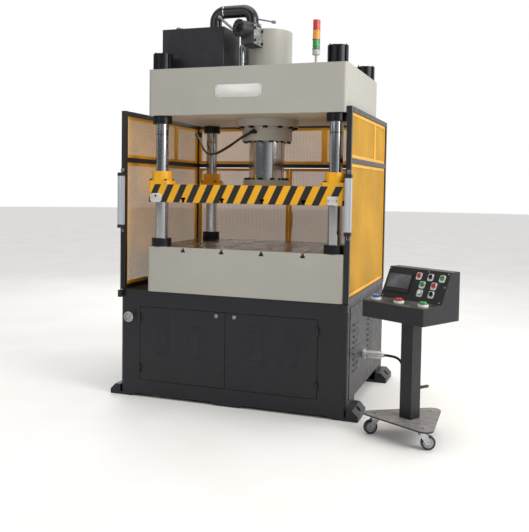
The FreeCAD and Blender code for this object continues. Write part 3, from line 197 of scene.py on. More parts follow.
def newGroup(name, inputs, outputs):
    group = bpy.data.node_groups.new(name, "ShaderNodeTree")
    for label, value in inputs.items():
        kind = "Float" if isinstance(value, float) else {3: "Vector", 4: "Color"}[len(value)]
        socket = group.interface.new_socket(label, in_out="INPUT", socket_type="NodeSocket" + kind)
        socket.default_value = value
    for label, kind in outputs.items():
        group.interface.new_socket(label, in_out="OUTPUT", socket_type="NodeSocket" + kind)
    return group, group.nodes.new("NodeGroupInput").outputs, group.nodes.new("NodeGroupOutput").inputs


def useGroup(tree, group, values):
    return addNode(tree, "ShaderNodeGroup", values, node_tree=group)


# paint film: broad tone drift, orange peel and a slightly uneven gloss
paintFilm, given, result = newGroup(
    "paintFilm", {"Colour": (0.5, 0.5, 0.5, 1), "Tone": 0.08, "Gloss": 0.4, "Peel": 320.0},
    {"Colour": "Color", "Roughness": "Float", "Height": "Float"})
drift = ramp(paintFilm, noise(paintFilm, 2.3, 4.0), 0.3, 0.7, -1.0, 1.0)
shade = maths(paintFilm, "MULTIPLY_ADD", drift, given["Tone"], 1.0)
shadeColour = addNode(paintFilm, "ShaderNodeCombineColor", {0: shade, 1: shade, 2: shade}).outputs[0]
toned = mixColour(paintFilm, 1.0, given["Colour"], shadeColour, "MULTIPLY")
paintFilm.links.new(toned, result["Colour"])
patchy = ramp(paintFilm, noise(paintFilm, 23.0, 3.0), 0.3, 0.7, -0.06, 0.06)
paintFilm.links.new(maths(paintFilm, "ADD", patchy, given["Gloss"]), result["Roughness"])
peelWhere = addNode(paintFilm, "ShaderNodeTexCoord").outputs["Object"]
peel = addNode(paintFilm, "ShaderNodeTexNoise",
               {"Vector": peelWhere, "Scale": given["Peel"], "Detail": 2.0})
paintFilm.links.new(peel.outputs[0], result["Height"])

# edge wear: where a rounded normal leaves the true one, broken up by noise
edgeWear, given, result = newGroup("edgeWear", {"Width": 0.003, "Amount": 0.6}, {"Mask": "Float"})
rounded = addNode(edgeWear, "ShaderNodeBevel", {"Radius": given["Width"]}, samples=4).outputs[0]
straight = addNode(edgeWear, "ShaderNodeNewGeometry").outputs["Normal"]
facing = addNode(edgeWear, "ShaderNodeVectorMath", {0: rounded, 1: straight}, operation="DOT_PRODUCT")
turning = ramp(edgeWear, facing.outputs["Value"], 0.995, 0.90)
broken = ramp(edgeWear, noise(edgeWear, 55.0, 5.0), 0.48, 0.62)
edgeWear.links.new(maths(edgeWear, "MULTIPLY", maths(edgeWear, "MULTIPLY", turning, broken),
                         given["Amount"]), result["Mask"])

# dust: lies on faces that look up, thicker in patches
restingDust, given, result = newGroup("restingDust", {"Amount": 0.3}, {"Mask": "Float"})
up = addNode(restingDust, "ShaderNodeSeparateXYZ",
             {0: addNode(restingDust, "ShaderNodeNewGeometry").outputs["Normal"]}).outputs["Z"]
lying = ramp(restingDust, up, 0.55, 0.95)
patches = ramp(restingDust, noise(restingDust, 11.0, 6.0), 0.35, 0.75)
restingDust.links.new(maths(restingDust, "MULTIPLY", maths(restingDust, "MULTIPLY", lying, patches),
                            given["Amount"]), result["Mask"])

# machining marks: noise drawn out along one way into fine lines
toolMarks, given, result = newGroup("toolMarks", {"Along": (1, 1, 1), "Scale": 40.0, "Depth": 0.1},
                                    {"Height": "Float", "Spread": "Float"})
markWhere = addNode(toolMarks, "ShaderNodeVectorMath",
                    {0: addNode(toolMarks, "ShaderNodeTexCoord").outputs["Object"], 1: given["Along"]},
                    operation="MULTIPLY").outputs[0]
lines = addNode(toolMarks, "ShaderNodeTexNoise",
                {"Vector": markWhere, "Scale": given["Scale"], "Detail": 4.0}).outputs[0]
toolMarks.links.new(lines, result["Height"])
toolMarks.links.new(maths(toolMarks, "MULTIPLY", ramp(toolMarks, lines, 0.3, 0.7, -1.0, 1.0),
                          given["Depth"]), result["Spread"])


def newMaterial(name, **constants):
    material = bpy.data.materials.new(name)
    material.use_nodes = True
    tree = material.node_tree
    shader = tree.nodes["Principled BSDF"]
    for label, value in constants.items():
        shader.inputs[label.replace("_", " ")].default_value = value
    return material, tree, shader


def bump(tree, shader, height, strength, distance):
    node = addNode(tree, "ShaderNodeBump", {"Height": height, "Strength": strength, "Distance": distance})
    tree.links.new(node.outputs[0], shader.inputs["Normal"])


def paint(name, look):
    # colour under the film, then bare edges, then dust
    material, tree, shader = newMaterial(name, Coat_Weight=look.get("coat", 0.0), Coat_Roughness=0.12,
                                         Metallic=look.get("metal", 0.0))
    film = useGroup(tree, paintFilm, {"Colour": tint(look["colour"]), "Tone": look.get("tone", 0.08),
                                      "Gloss": look["gloss"], "Peel": look.get("peel", 320.0)})
    wear = useGroup(tree, edgeWear, {"Width": look.get("wearWidth", 0.003), "Amount": look.get("wear", 0.5)})
    dust = useGroup(tree, restingDust, {"Amount": look.get("dust", 0.25)})
    colour = mixColour(tree, wear.outputs[0], film.outputs["Colour"], tint(look.get("under", "8d8d8b")))
    colour = mixColour(tree, dust.outputs[0], colour, tint(look.get("dustColour", "a39d92")))
    tree.links.new(colour, shader.inputs["Base Color"])
    rough = mixValue(tree, dust.outputs[0], film.outputs["Roughness"], 0.8)
    tree.links.new(rough, shader.inputs["Roughness"])
    bump(tree, shader, film.outputs["Height"], look.get("peelDepth", 0.15), 0.001)
    return material, tree, shader, colour


def bareMetal(name, look):
    # metal with drawn-out machining marks and a few darker stains
    material, tree, shader = newMaterial(name, Metallic=look.get("metal", 1.0))
    marks = useGroup(tree, toolMarks, {"Along": look.get("along", (1, 1, 20)),
                                       "Scale": look.get("scale", 40.0), "Depth": look.get("spread", 0.06)})
    blotches = noise(tree, look.get("stainScale", 9.0), 5.0)
    stain = ramp(tree, blotches, 0.45, 0.8, 0.0, look.get("stain", 0.35))
    colour = mixColour(tree, stain, tint(look["colour"]), tint(look.get("stainColour", "4b4a48")))
    tree.links.new(colour, shader.inputs["Base Color"])
    tree.links.new(maths(tree, "ADD", marks.outputs["Spread"], look["gloss"]), shader.inputs["Roughness"])
    bump(tree, shader, marks.outputs["Height"], look.get("markDepth", 0.1), 0.0004)
    return material, tree, shader, colour


def plastic(name, look):
    # moulded plastic with a fine even grain
    material, tree, shader = newMaterial(name, Coat_Weight=look.get("coat", 0.0))
    grain = noise(tree, look.get("grain", 900.0), 2.0)
    drift = ramp(tree, noise(tree, look.get("drift", 30.0), 3.0), 0.3, 0.7, 0.0, look.get("tone", 0.25))
    tree.links.new(mixColour(tree, drift, tint(look["colour"]), tint(look["second"])),
                   shader.inputs["Base Color"])
    tree.links.new(ramp(tree, grain, 0.2, 0.8, look["gloss"] - 0.05, look["gloss"] + 0.08),
                   shader.inputs["Roughness"])
    bump(tree, shader, grain, look.get("grainDepth", 0.12), 0.0004)
    return material, tree, shader


def dress(material, *names):
    for name in names:
        materials = nodes[name].data.materials
        for place in range(len(materials)):
            materials[place] = material


def objectAxis(tree, axis):
    where = addNode(tree, "ShaderNodeTexCoord").outputs["Object"]
    return addNode(tree, "ShaderNodeSeparateXYZ", {0: where}).outputs[axis]


def faceAxis(tree, axis):
    normal = addNode(tree, "ShaderNodeNewGeometry").outputs["Normal"]
    return addNode(tree, "ShaderNodeSeparateXYZ", {0: normal}).outputs[axis]


cameraLook = {"place": (1.63913, -4.59417, 1.32284), "yaw": 19.34, "pitch": -2.83, "roll": 0.87,
              "focal": 49.567, "shiftUp": -0.0796}
yaw, pitch, roll = (math.radians(cameraLook[k]) for k in ("yaw", "pitch", "roll"))
forward = np.array([-math.sin(yaw) * math.cos(pitch), math.cos(yaw) * math.cos(pitch), math.sin(pitch)])
level = np.array([math.cos(yaw), math.sin(yaw), 0.0])
upright = np.cross(level, forward)
rightward = math.cos(roll) * level + math.sin(roll) * upright
upward = math.cos(roll) * upright - math.sin(roll) * level
camera = bpy.data.objects.new("camera", bpy.data.cameras.new("camera"))
camera.data.sensor_width = 36.0
camera.data.lens = cameraLook["focal"]
camera.data.shift_y = cameraLook["shiftUp"]
camera.data.clip_end = 100.0
turn = np.eye(4)
turn[:3, 0], turn[:3, 1], turn[:3, 2], turn[:3, 3] = rightward, upward, -forward, cameraLook["place"]
camera.matrix_world = Matrix(turn.tolist())
bpy.context.scene.collection.objects.link(camera)
bpy.context.scene.camera = camera
bpy.context.scene.view_settings.view_transform = "Standard"


def softLight(name, look):
    light = bpy.data.lights.new(name, "AREA")
    light.shape = "RECTANGLE"
    light.size, light.size_y = look["size"]
    light.energy = look["power"]
    light.color = look["colour"]
    lamp = bpy.data.objects.new(name, light)
    lamp.location = look["place"]
    aim = Vector(look["aim"]) - Vector(look["place"])
    lamp.rotation_euler = aim.to_track_quat("-Z", "Y").to_euler()
    bpy.context.scene.collection.objects.link(lamp)


lightLooks = {
    "keyLight": {"place": (5.2, -2.0, 3.2), "aim": (0.2, 0.0, 1.0), "size": (2.6, 2.6), "power": 185,
                 "colour": (1.0, 0.98, 0.95)},
    "frontLight": {"place": (-2.2, -5.6, 3.4), "aim": (0.1, 0.0, 1.1), "size": (3.0, 2.4), "power": 42,
                   "colour": (0.97, 0.98, 1.0)},
    "topLight": {"place": (0.4, -0.8, 5.4), "aim": (0.2, -0.1, 1.0), "size": (3.4, 3.4), "power": 62,
                 "colour": (1.0, 1.0, 1.0)},
    "backLight": {"place": (-2.6, 4.2, 3.6), "aim": (0.1, 0.2, 1.2), "size": (2.6, 2.2), "power": 60,
                  "colour": (1.0, 1.0, 1.0)}}
for name, look in lightLooks.items():
    softLight(name, look)

world = bpy.data.worlds.new("studio")
bpy.context.scene.world = world
world.use_nodes = True
sky = world.node_tree
direction = addNode(sky, "ShaderNodeTexCoord").outputs["Generated"]
# brighter behind the press and to its right, darker in front and to its left
skyLook = {"brightWay": (0.35, 0.94, 0.0), "dark": 0.12, "bright": 1.0, "strength": 1.0}
towards = addNode(sky, "ShaderNodeVectorMath", {0: direction, 1: skyLook["brightWay"]},
                  operation="DOT_PRODUCT")
glow = ramp(sky, towards.outputs["Value"], -0.9, 0.0, skyLook["dark"], skyLook["bright"])
glowColour = addNode(sky, "ShaderNodeCombineColor", {0: glow, 1: glow, 2: glow}).outputs[0]
sky.links.new(glowColour, sky.nodes["Background"].inputs["Color"])
sky.nodes["Background"].inputs["Strength"].default_value = skyLook["strength"]

floorLook = {"radius": 40.0, "top": -0.0005, "bottom": -0.02, "colour": "f2f1ef", "second": "eceae7"}
floorRings = turned([(floorLook["radius"], floorLook["bottom"]), (floorLook["radius"], floorLook["top"])], 96)
floorMaterial, tree, shader = newMaterial("paleFloor", Roughness=0.7)
cloudy = ramp(tree, noise(tree, 1.5, 4.0), 0.3, 0.7)
tree.links.new(mixColour(tree, cloudy, tint(floorLook["colour"]), tint(floorLook["second"])),
               shader.inputs["Base Color"])
putMesh("studioFloor", floorRings, floorMaterial)
print("camera, lights and floor ready")

cabinetPaint, *_ = paint("cabinetPaint", {"colour": "0c0c15", "gloss": 0.44, "peel": 260.0,
                                          "peelDepth": 0.22, "under": "3c3d42", "wear": 0.35,
                                          "dust": 0.15})
framePaint, frameTree, frameShader, frameColour = paint(
    "framePaint", {"colour": "a9a79e", "gloss": 0.45, "peel": 240.0, "peelDepth": 0.2, "tone": 0.05,
                   "under": "8a8781", "wear": 0.4, "dust": 0.2, "dustColour": "a89f8f", "wearWidth": 0.004})
tankPaint, *_ = paint("tankPaint", {"colour": "17181d", "gloss": 0.5, "under": "56565a", "dust": 0.3})
consolePaint, *_ = paint("consolePaint", {"colour": "121218", "gloss": 0.5, "peel": 520.0, "peelDepth": 0.5,
                                          "under": "5c5b5b", "wear": 0.25, "dust": 0.3})

# console stand: black post, and a plate whose up-facing top is painted light grey as a painted reflection
standLook = {"colour": "0d0e14", "gloss": 0.48, "peel": 420.0, "under": "4c4c50", "wear": 0.3, "dust": 0.2,
             "plateTop": 0.1115, "topSheen": "8b8685", "topSheenDark": "6f6b6a"}
standPaint, standTree, standShader, standColour = paint("standPaint", standLook)
# painted reflection: the plate's up-facing faces, below its top height, get a patchy light grey
lowDown = maths(standTree, "LESS_THAN", objectAxis(standTree, "Z"), standLook["plateTop"])
plateTop = maths(standTree, "MULTIPLY", ramp(standTree, faceAxis(standTree, "Z"), 0.6, 0.9), lowDown)
topSheenPatches = ramp(standTree, noise(standTree, 26.0, 6.0), 0.35, 0.7)
topSheen = mixColour(standTree, topSheenPatches, tint(standLook["topSheen"]), tint(standLook["topSheenDark"]))
standTree.links.new(mixColour(standTree, plateTop, standColour, topSheen), standShader.inputs["Base Color"])

guardBlack, *_ = paint("guardBlack", {"colour": "17171a", "gloss": 0.38, "under": "77777a", "wear": 0.4,
                                      "dust": 0.25})
guardYellow, *_ = paint("guardYellow", {"colour": "e6a70a", "gloss": 0.45, "under": "b9a069", "wear": 0.35,
                                        "tone": 0.14, "dust": 0.25, "wearWidth": 0.002})
meshYellow, *_ = paint("meshYellow", {"colour": "d0a02c", "gloss": 0.55, "under": "c4a74e", "wear": 0.4,
                                      "tone": 0.2, "dust": 0.35, "dustColour": "c9b26a",
                                      "wearWidth": 0.0008})
motorPaint, *_ = paint("motorPaint", {"colour": "33506b", "gloss": 0.45, "under": "8a8a88", "dust": 0.5})
towerGrey, *_ = paint("towerGrey", {"colour": "b9bab8", "gloss": 0.4, "under": "8a8a88", "dust": 0.2})
socketSilver, *_ = paint("socketSilver", {"colour": "d5d6d6", "gloss": 0.3, "under": "8a8a88", "metal": 0.6,
                                          "dust": 0.2})
blackenedSteel, *_ = bareMetal("blackenedSteel", {"colour": "26262a", "gloss": 0.34, "metal": 0.75,
                                                  "stainColour": "111113", "along": (1, 1, 30)})
valveSteel, *_ = bareMetal("valveSteel", {"colour": "8d9196", "gloss": 0.3, "along": (1, 1, 1),
                                          "scale": 60.0, "stain": 0.5})

# filling valve: black casting, with its right-facing faces painted bright and metallic as a painted sheen
valveIronLook = {"colour": "26272b", "gloss": 0.36, "under": "7d7f82", "wear": 0.7, "dust": 0.2,
                 "peelDepth": 0.4, "rightSheen": "c4c6c8", "rightSheenDark": "7f8388"}
valveIron, valveTree, valveShader, valveColour = paint("valveIron", valveIronLook)
# painted sheen: faces that look along +X get a streaked bright grey and turn metallic
rightSheen = ramp(valveTree, faceAxis(valveTree, "X"), 0.9, 0.98)
sheenStreaks = ramp(valveTree, noise(valveTree, 18.0, 4.0, (1, 1, 3)), 0.35, 0.7)
bright = mixColour(valveTree, sheenStreaks, tint(valveIronLook["rightSheen"]), tint(valveIronLook["rightSheenDark"]))
valveTree.links.new(mixColour(valveTree, rightSheen, valveColour, bright), valveShader.inputs["Base Color"])
valveTree.links.new(maths(valveTree, "MULTIPLY", rightSheen, 0.9), valveShader.inputs["Metallic"])

gaugeSteel, *_ = bareMetal("gaugeSteel", {"colour": "c9cbcd", "gloss": 0.2, "along": (1, 30, 1)})
forkSteel, *_ = bareMetal("forkSteel", {"colour": "b9bcc0", "gloss": 0.22, "stain": 0.4, "stainScale": 40.0})
brushedPlate, *_ = bareMetal("brushedPlate", {"colour": "d8d7d2", "gloss": 0.34, "along": (1, 30, 40),
                                              "metal": 0.55, "stain": 0.1, "stainColour": "a5a4a0"})
fastenerSteel, *_ = bareMetal("fastenerSteel", {"colour": "9a9b9d", "gloss": 0.3, "stain": 0.4,
                                                "stainScale": 120.0})
blackPlastic, *_ = plastic("blackPlastic", {"colour": "141416", "second": "242427", "gloss": 0.42})
curtainGrey, *_ = plastic("curtainGrey", {"colour": "a9aeb4", "second": "9aa0a7", "gloss": 0.38})
legendWhite, *_ = plastic("legendWhite", {"colour": "d9d8d2", "second": "c4c2ba", "gloss": 0.4,
                                          "drift": 60.0})
dialWhite, *_ = plastic("dialWhite", {"colour": "eeeeea", "second": "dedbd0", "gloss": 0.5})
inkBlack, *_ = plastic("inkBlack", {"colour": "0c0c0d", "second": "1a1a1a", "gloss": 0.5})
needleBlack, *_ = plastic("needleBlack", {"colour": "1c1c1e", "second": "2c2c2e", "gloss": 0.4})
wheelRubber, *_ = plastic("wheelRubber", {"colour": "1d1d1f", "second": "3c3a37", "gloss": 0.6, "tone": 0.6,
                                          "grain": 500.0, "drift": 45.0, "grainDepth": 0.3})
cordBlack, *_ = plastic("cordBlack", {"colour": "0f0f11", "second": "161618", "gloss": 0.5,
                                      "grain": 700.0})
buttonLooks = {"red": ("b3141a", "8a0f14"), "green": ("118a3a", "0c6b2c"), "white": ("e4e3dd", "cfcdc4"),
               "blue": ("1c57a8", "164685")}
buttonFinish = {}
for colour, (bright, deep) in buttonLooks.items():
    buttonFinish[colour] = plastic("button_" + colour, {"colour": bright, "second": deep, "gloss": 0.25,
                                                        "coat": 0.4})[0]

# ground steel on the bed's top and inside its slots, paint elsewhere; the slot floors are painted dark as
# painted shade
bedLook = {"steel": "a7a6a2", "smudged": "6f6a60", "slot": "2a2826", "gloss": 0.2, "slotDepth": 0.033,
           "marks": {"Along": (2, 60, 1), "Scale": 8.0, "Depth": 0.07}}
marks = useGroup(frameTree, toolMarks, bedLook["marks"])
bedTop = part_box("bed")[1].z
slotFloor = bedTop - bedLook["slotDepth"]
onTop = ramp(frameTree, objectAxis(frameTree, "Z"), slotFloor - 0.0005, slotFloor + 0.0005)
below = maths(frameTree, "LESS_THAN", objectAxis(frameTree, "Z"), bedTop + 0.002)
lookUp = ramp(frameTree, faceAxis(frameTree, "Z"), 0.4, 0.6)
ground = maths(frameTree, "MULTIPLY", maths(frameTree, "MULTIPLY", onTop, below), lookUp)
smudge = ramp(frameTree, noise(frameTree, 6.0, 5.0), 0.4, 0.75, 0.0, 0.45)
steel = mixColour(frameTree, smudge, tint(bedLook["steel"]), tint(bedLook["smudged"]))
# painted shade: faces below the bed top, the floors of the slots, are painted near black
inSlotShade = maths(frameTree, "LESS_THAN", objectAxis(frameTree, "Z"), bedTop - 0.001)
steel = mixColour(frameTree, inSlotShade, steel, tint(bedLook["slot"]))
frameTree.links.new(mixColour(frameTree, ground, frameColour, steel), frameShader.inputs["Base Color"])
frameTree.links.new(ground, frameShader.inputs["Metallic"])
filmRough = frameShader.inputs["Roughness"].links[0].from_socket
steelRough = maths(frameTree, "ADD", marks.outputs["Spread"], bedLook["gloss"])
steelRough = maths(frameTree, "ADD", steelRough, maths(frameTree, "MULTIPLY", smudge, 0.4))
frameTree.links.new(mixValue(frameTree, ground, filmRough, steelRough), frameShader.inputs["Roughness"])

# hard chrome: bright, with faint rings, patches of oil film and a thin dark line near the top
chromeLook = {"bright": "c3c5c8", "oiled": "8f8f8e", "gloss": 0.12, "lineHeight": 1.640, "lineHalf": 0.0022,
              "line": "1d1d1f", "marks": {"Along": (1, 1, 60), "Scale": 12.0, "Depth": 0.05}}
hardChrome, chromeTree, chromeShader = newMaterial("hardChrome", Metallic=1.0)
marks = useGroup(chromeTree, toolMarks, chromeLook["marks"])
fromLine = maths(chromeTree, "SUBTRACT", objectAxis(chromeTree, "Z"), chromeLook["lineHeight"])
line = maths(chromeTree, "LESS_THAN", maths(chromeTree, "ABSOLUTE", fromLine), chromeLook["lineHalf"])
oil = ramp(chromeTree, noise(chromeTree, 14.0, 4.0, (1, 1, 0.25)), 0.42, 0.72, 0.0, 0.5)
colour = mixColour(chromeTree, oil, tint(chromeLook["bright"]), tint(chromeLook["oiled"]))
colour = mixColour(chromeTree, line, colour, tint(chromeLook["line"]))
chromeTree.links.new(colour, chromeShader.inputs["Base Color"])
rough = maths(chromeTree, "ADD", marks.outputs["Spread"], chromeLook["gloss"])
chromeTree.links.new(rough, chromeShader.inputs["Roughness"])
bump(chromeTree, chromeShader, marks.outputs["Height"], 0.06, 0.0004)

# glossy black suction pipe
pipePaint, *_ = paint("pipePaint", {"colour": "0b0b0d", "gloss": 0.3, "peel": 120.0, "peelDepth": 0.3,
                                    "coat": 0.15, "dust": 0.1, "under": "55585c", "wear": 0.2})

# slide: yellow, with leaning black stripes on its front face and painted shade in the slots under it
slideLook = {"colour": "e9a908", "gloss": 0.4, "under": "7c7a74", "wear": 0.8, "wearWidth": 0.005,
             "tone": 0.1, "dust": 0.1, "slot": "26221d", "slotDepth": 0.031}
stripeLook = {"pitch": 0.0876, "lean": 0.48, "start": -0.015, "share": 0.51, "height": 1.279,
              "black": "141416"}
slideYellow, slideTree, slideShader, slideColour = paint("slideYellow", slideLook)
slideLow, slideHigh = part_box("slide_plate")
rise = maths(slideTree, "SUBTRACT", objectAxis(slideTree, "Z"), stripeLook["height"])
along = maths(slideTree, "MULTIPLY_ADD", rise, -stripeLook["lean"], objectAxis(slideTree, "X"))
ragged = ramp(slideTree, noise(slideTree, 90.0, 2.0), 0.3, 0.7, -0.0006, 0.0006)
along = maths(slideTree, "ADD", along, ragged)
turns = maths(slideTree, "MULTIPLY_ADD", along, 1 / stripeLook["pitch"],
              0.5 - stripeLook["start"] / stripeLook["pitch"])
fromHalf = maths(slideTree, "SUBTRACT", maths(slideTree, "FRACT", turns), 0.5)
halfShare = stripeLook["share"] / 2
black = ramp(slideTree, maths(slideTree, "ABSOLUTE", fromHalf), halfShare - 0.004, halfShare + 0.004)
front = maths(slideTree, "LESS_THAN", objectAxis(slideTree, "Y"), slideLow.y + 0.004)
facingFront = maths(slideTree, "LESS_THAN", faceAxis(slideTree, "Y"), -0.4)
stripes = maths(slideTree, "MULTIPLY", maths(slideTree, "MULTIPLY", front, facingFront), black)
onPlate = maths(slideTree, "LESS_THAN", objectAxis(slideTree, "Z"), slideHigh.z - 0.0005)
stripes = maths(slideTree, "MULTIPLY", stripes, onPlate)
scuffs = ramp(slideTree, noise(slideTree, 60.0, 6.0, (1, 1, 2.5)), 0.66, 0.74, 1.0, 0.8)
stripes = maths(slideTree, "MULTIPLY", stripes, scuffs)
striped = mixColour(slideTree, stripes, slideColour, tint(stripeLook["black"]))
# painted shade: faces inside the plate's bottom 31 mm, the slots under it, are painted dark
slotTop = slideLow.z + slideLook["slotDepth"]
inside = 1.0
for axis, low, high in (("X", slideLow.x + 0.001, slideHigh.x - 0.001),
                        ("Y", slideLow.y + 0.001, slideHigh.y - 0.001), ("Z", slideLow.z + 0.0005, slotTop)):
    place = objectAxis(slideTree, axis)
    inside = maths(slideTree, "MULTIPLY", inside, maths(slideTree, "GREATER_THAN", place, low))
    inside = maths(slideTree, "MULTIPLY", inside, maths(slideTree, "LESS_THAN", place, high))
slideTree.links.new(mixColour(slideTree, inside, striped, tint(slideLook["slot"])),
                    slideShader.inputs["Base Color"])


def lensMaterial(name, code, deep, node):
    # clear coloured plastic with upright ribs inside: the sine of 36 times the angle round the lens
    material, tree, shader = newMaterial(name, Roughness=0.18, Coat_Weight=0.5,
                                         Subsurface_Weight=0.35, Subsurface_Scale=0.01)
    low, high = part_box(node)
    x = maths(tree, "SUBTRACT", objectAxis(tree, "X"), (low.x + high.x) / 2)
    y = maths(tree, "SUBTRACT", objectAxis(tree, "Y"), (low.y + high.y) / 2)
    rib = maths(tree, "SINE", maths(tree, "MULTIPLY", maths(tree, "ARCTAN2", y, x), 36.0))
    colour = mixColour(tree, ramp(tree, rib, -1.0, 1.0), tint(code), tint(deep))
    tree.links.new(colour, shader.inputs["Base Color"])
    glowing = mixColour(tree, ramp(tree, rib, -1.0, 1.0, 0.3, 0.9), tint(code), tint(deep))
    tree.links.new(glowing, shader.inputs["Emission Color"])
    shader.inputs["Emission Strength"].default_value = 0.05
    bump(tree, shader, rib, 0.35, 0.001)
    return material


dress(cabinetPaint, "cabinet", "foot_pads", "door_left", "door_right", "covers")
dress(framePaint, "bed", "crown", "cylinder", "rod_flange")
dress(blackenedSteel, "column_nuts", "cylinder_bolts", "slide_bolts", "hose_fittings")
dress(hardChrome, "columns", "piston_rod")
dress(tankPaint, "oil_tank")
dress(pipePaint, "suction_pipe")
dress(valveIron, "filling_valve")
dress(valveSteel, "oil_fittings")
dress(motorPaint, "power_unit")
dress(towerGrey, "tower_stem")
lensLooks = {"tower_green": ("lensGreen", "1c9b45", "0b6e2c"),
             "tower_amber": ("lensAmber", "f2a413", "c97d05"),
             "tower_red": ("lensRed", "d9251d", "9c120e")}
for node, look in lensLooks.items():
    dress(lensMaterial(*look, node), node)
dress(slideYellow, "slide_plate", "guide_bushes")
dress(guardBlack, "guard_frame", "rear_handle_left", "rear_handle_right")
dress(guardYellow, "rear_door_left", "rear_door_right")
dress(curtainGrey, "light_curtains")
dress(blackPlastic, "cable_glands", "console_screen", "selector_upper", "selector_lower")
dress(gaugeSteel, "gauge_case")
dress(needleBlack, "gauge_needle")
dress(consolePaint, "console_box")
dress(standPaint, "console_stand")
dress(socketSilver, "cable_socket")
dress(buttonFinish["red"], "button_red_upper", "button_red_middle", "emergency_stop")
dress(buttonFinish["green"], "button_green_upper", "button_green_middle", "palm_green")
dress(buttonFinish["white"], "button_white")
dress(buttonFinish["blue"], "palm_blue")
dress(forkSteel, "caster_fork_left", "caster_fork_right", "caster_fork_rear")
dress(wheelRubber, "caster_wheel_left", "caster_wheel_right", "caster_wheel_rear")
print("finishes on the parts")


def layCord(name, look, material, body):
    # a smooth spline pulled towards the route's points, round in section
    curve = bpy.data.curves.new(name, "CURVE")
    curve.dimensions = "3D"
    spline = curve.splines.new("NURBS")
    route = np.array(look["route"], float) / 1000
    spline.points.add(len(route) - 1)
    spline.points.foreach_set("co", np.column_stack([route, np.ones(len(route))]).ravel())
    spline.order_u = 3
    spline.use_endpoint_u = True
    spline.use_smooth = True
    curve.resolution_u = 14
    curve.bevel_depth = look["diameter"] / 2
    curve.bevel_resolution = 6
    curve.use_fill_caps = True
    curve.materials.append(material)
    cord = bpy.data.objects.new(name, curve)
    bpy.context.scene.collection.objects.link(cord)
    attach(cord, body)
    return cord


# each route's points are in millimetres, as they stand in the part
cordLooks = {
    "pressureHose": {"node": "pressure_hose", "diameter": 0.016, "length": 1.161, "route": [
        (30, -297, 1664), (-50, -262, 1632), (-160, -190, 1582), (-275, -90, 1547), (-380, 20, 1541),
        (-460, 115, 1566), (-530, 205, 1614), (-590, 300, 1668), (-650, 378, 1703), (-689, 442, 1715),
        (-689, 510, 1715)]},
    "consoleCable": {"node": "console_cable", "diameter": 0.016, "length": 0.692, "route": [
        (866, -120, 299), (917, -120, 299), (963, -146, 290), (990, -198, 269), (1003, -262, 240),
        (1020, -330, 215), (1058, -385, 204), (1110, -428, 206), (1160, -467, 222), (1182, -521, 242),
        (1171.5, -582.1, 255), (1141, -635, 255)]}}
for name, look in cordLooks.items():
    cord = layCord(name, look, cordBlack, "base")
    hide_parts(look["node"])
print("hose and cable laid")

# guard panels: yellow rims and expanded metal; each side panel runs from y to y and from z to z,
# and each back panel from x to x
guardLook = {"rim": 0.020, "depth": 0.012, "edge": 0.0012, "diamondLong": 0.022, "diamondShort": 0.012,
             "strand": 0.0060, "sheet": 0.0011, "slope": 26.0, "meshOver": 0.012,
             "sides": {"UpperFront": (-0.531, 0.176, 1.497, 1.757), "UpperBack": (0.178, 0.531, 1.497, 1.757),
                       "Lower": (-0.531, 0.531, 0.699, 1.467)},
             "backs": {"Wide": (-0.701, 0.285), "Narrow": (0.287, 0.701)}, "backHeights": (1.497, 1.757)}


def expandedMetal(width, height):
    # strand i at node k: across = k steps, up = i rises and a little under half a rise up or down
    # by turns; each strand is a flat bar turned by the slope about its own length
    count = round(width / (guardLook["diamondLong"] / 2))
    rows = round(height / (guardLook["diamondShort"] / 2))
    rise = height / rows
    k, i = np.arange(count + 1)[None, :], np.arange(rows)[:, None]
    across = (k / count - 0.5) * width + 0 * i
    up = (i + 0.5) * rise - height / 2 + np.where((i + k) % 2 == 0, 0.5, -0.5) * rise * 0.92
    slope = math.radians(guardLook["slope"])
    a = np.array([-1, 1, 1, -1]) * guardLook["strand"] / 2
    b = np.array([-1, -1, 1, 1]) * guardLook["sheet"] / 2
    barUp = a * math.cos(slope) - b * math.sin(slope)
    barOut = a * math.sin(slope) + b * math.cos(slope)
    points = np.stack([across[..., None] + 0 * a, up[..., None] + barUp, 0 * up[..., None] + barOut], -1)
    oneRow = capped(points[0].reshape(-1, 3), 4)[1]
    starts = (np.arange(rows) * (count + 1) * 4)[:, None, None]
    return points.reshape(-1, 3), [(face[None] + starts).reshape(-1, 4) for face in oneRow]


def foldedRim(width, height):
    # a closed bar section carried round the rectangle with mitred corners
    d, e, r = guardLook["depth"] / 2, guardLook["edge"], guardLook["rim"]
    section = [(0, -d + e), (0, d - e), (e, d), (r - e, d), (r, d - e), (r, -d + e), (r - e, -d),
               (e, -d)]
    return slab(width, height, 0.0, section, steps=1, closed=True)


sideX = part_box("guard_panels")[1].x - guardLook["depth"] / 2
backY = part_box("guard_panels")[1].y - guardLook["depth"] / 2
panelPlaces = {}
for label, side in (("Left", -1), ("Right", 1)):
    for part, (y0, y1, z0, z1) in guardLook["sides"].items():
        middle = (side * sideX, (y0 + y1) / 2, (z0 + z1) / 2)
        panelPlaces["side" + label + part] = (middle, (0, 1, 0), (1, 0, 0), y1 - y0, z1 - z0)
z0, z1 = guardLook["backHeights"]
for part, (x0, x1) in guardLook["backs"].items():
    middle = ((x0 + x1) / 2, backY, (z0 + z1) / 2)
    panelPlaces["back" + part] = (middle, (1, 0, 0), (0, -1, 0), x1 - x0, z1 - z0)
rims = []
for name, (middle, u, w, width, height) in panelPlaces.items():
    rims.append(placed(foldedRim(width, height), middle, u, (0, 0, 1), w))
    inner = expandedMetal(width - guardLook["rim"], height - guardLook["rim"])
    piece = putMesh(name + "Mesh", placed(inner, middle, u, (0, 0, 1), w), meshYellow, "base")
guardRims = putMesh("guardRims", gather(rims), guardYellow, "base")
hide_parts("guard_panels")
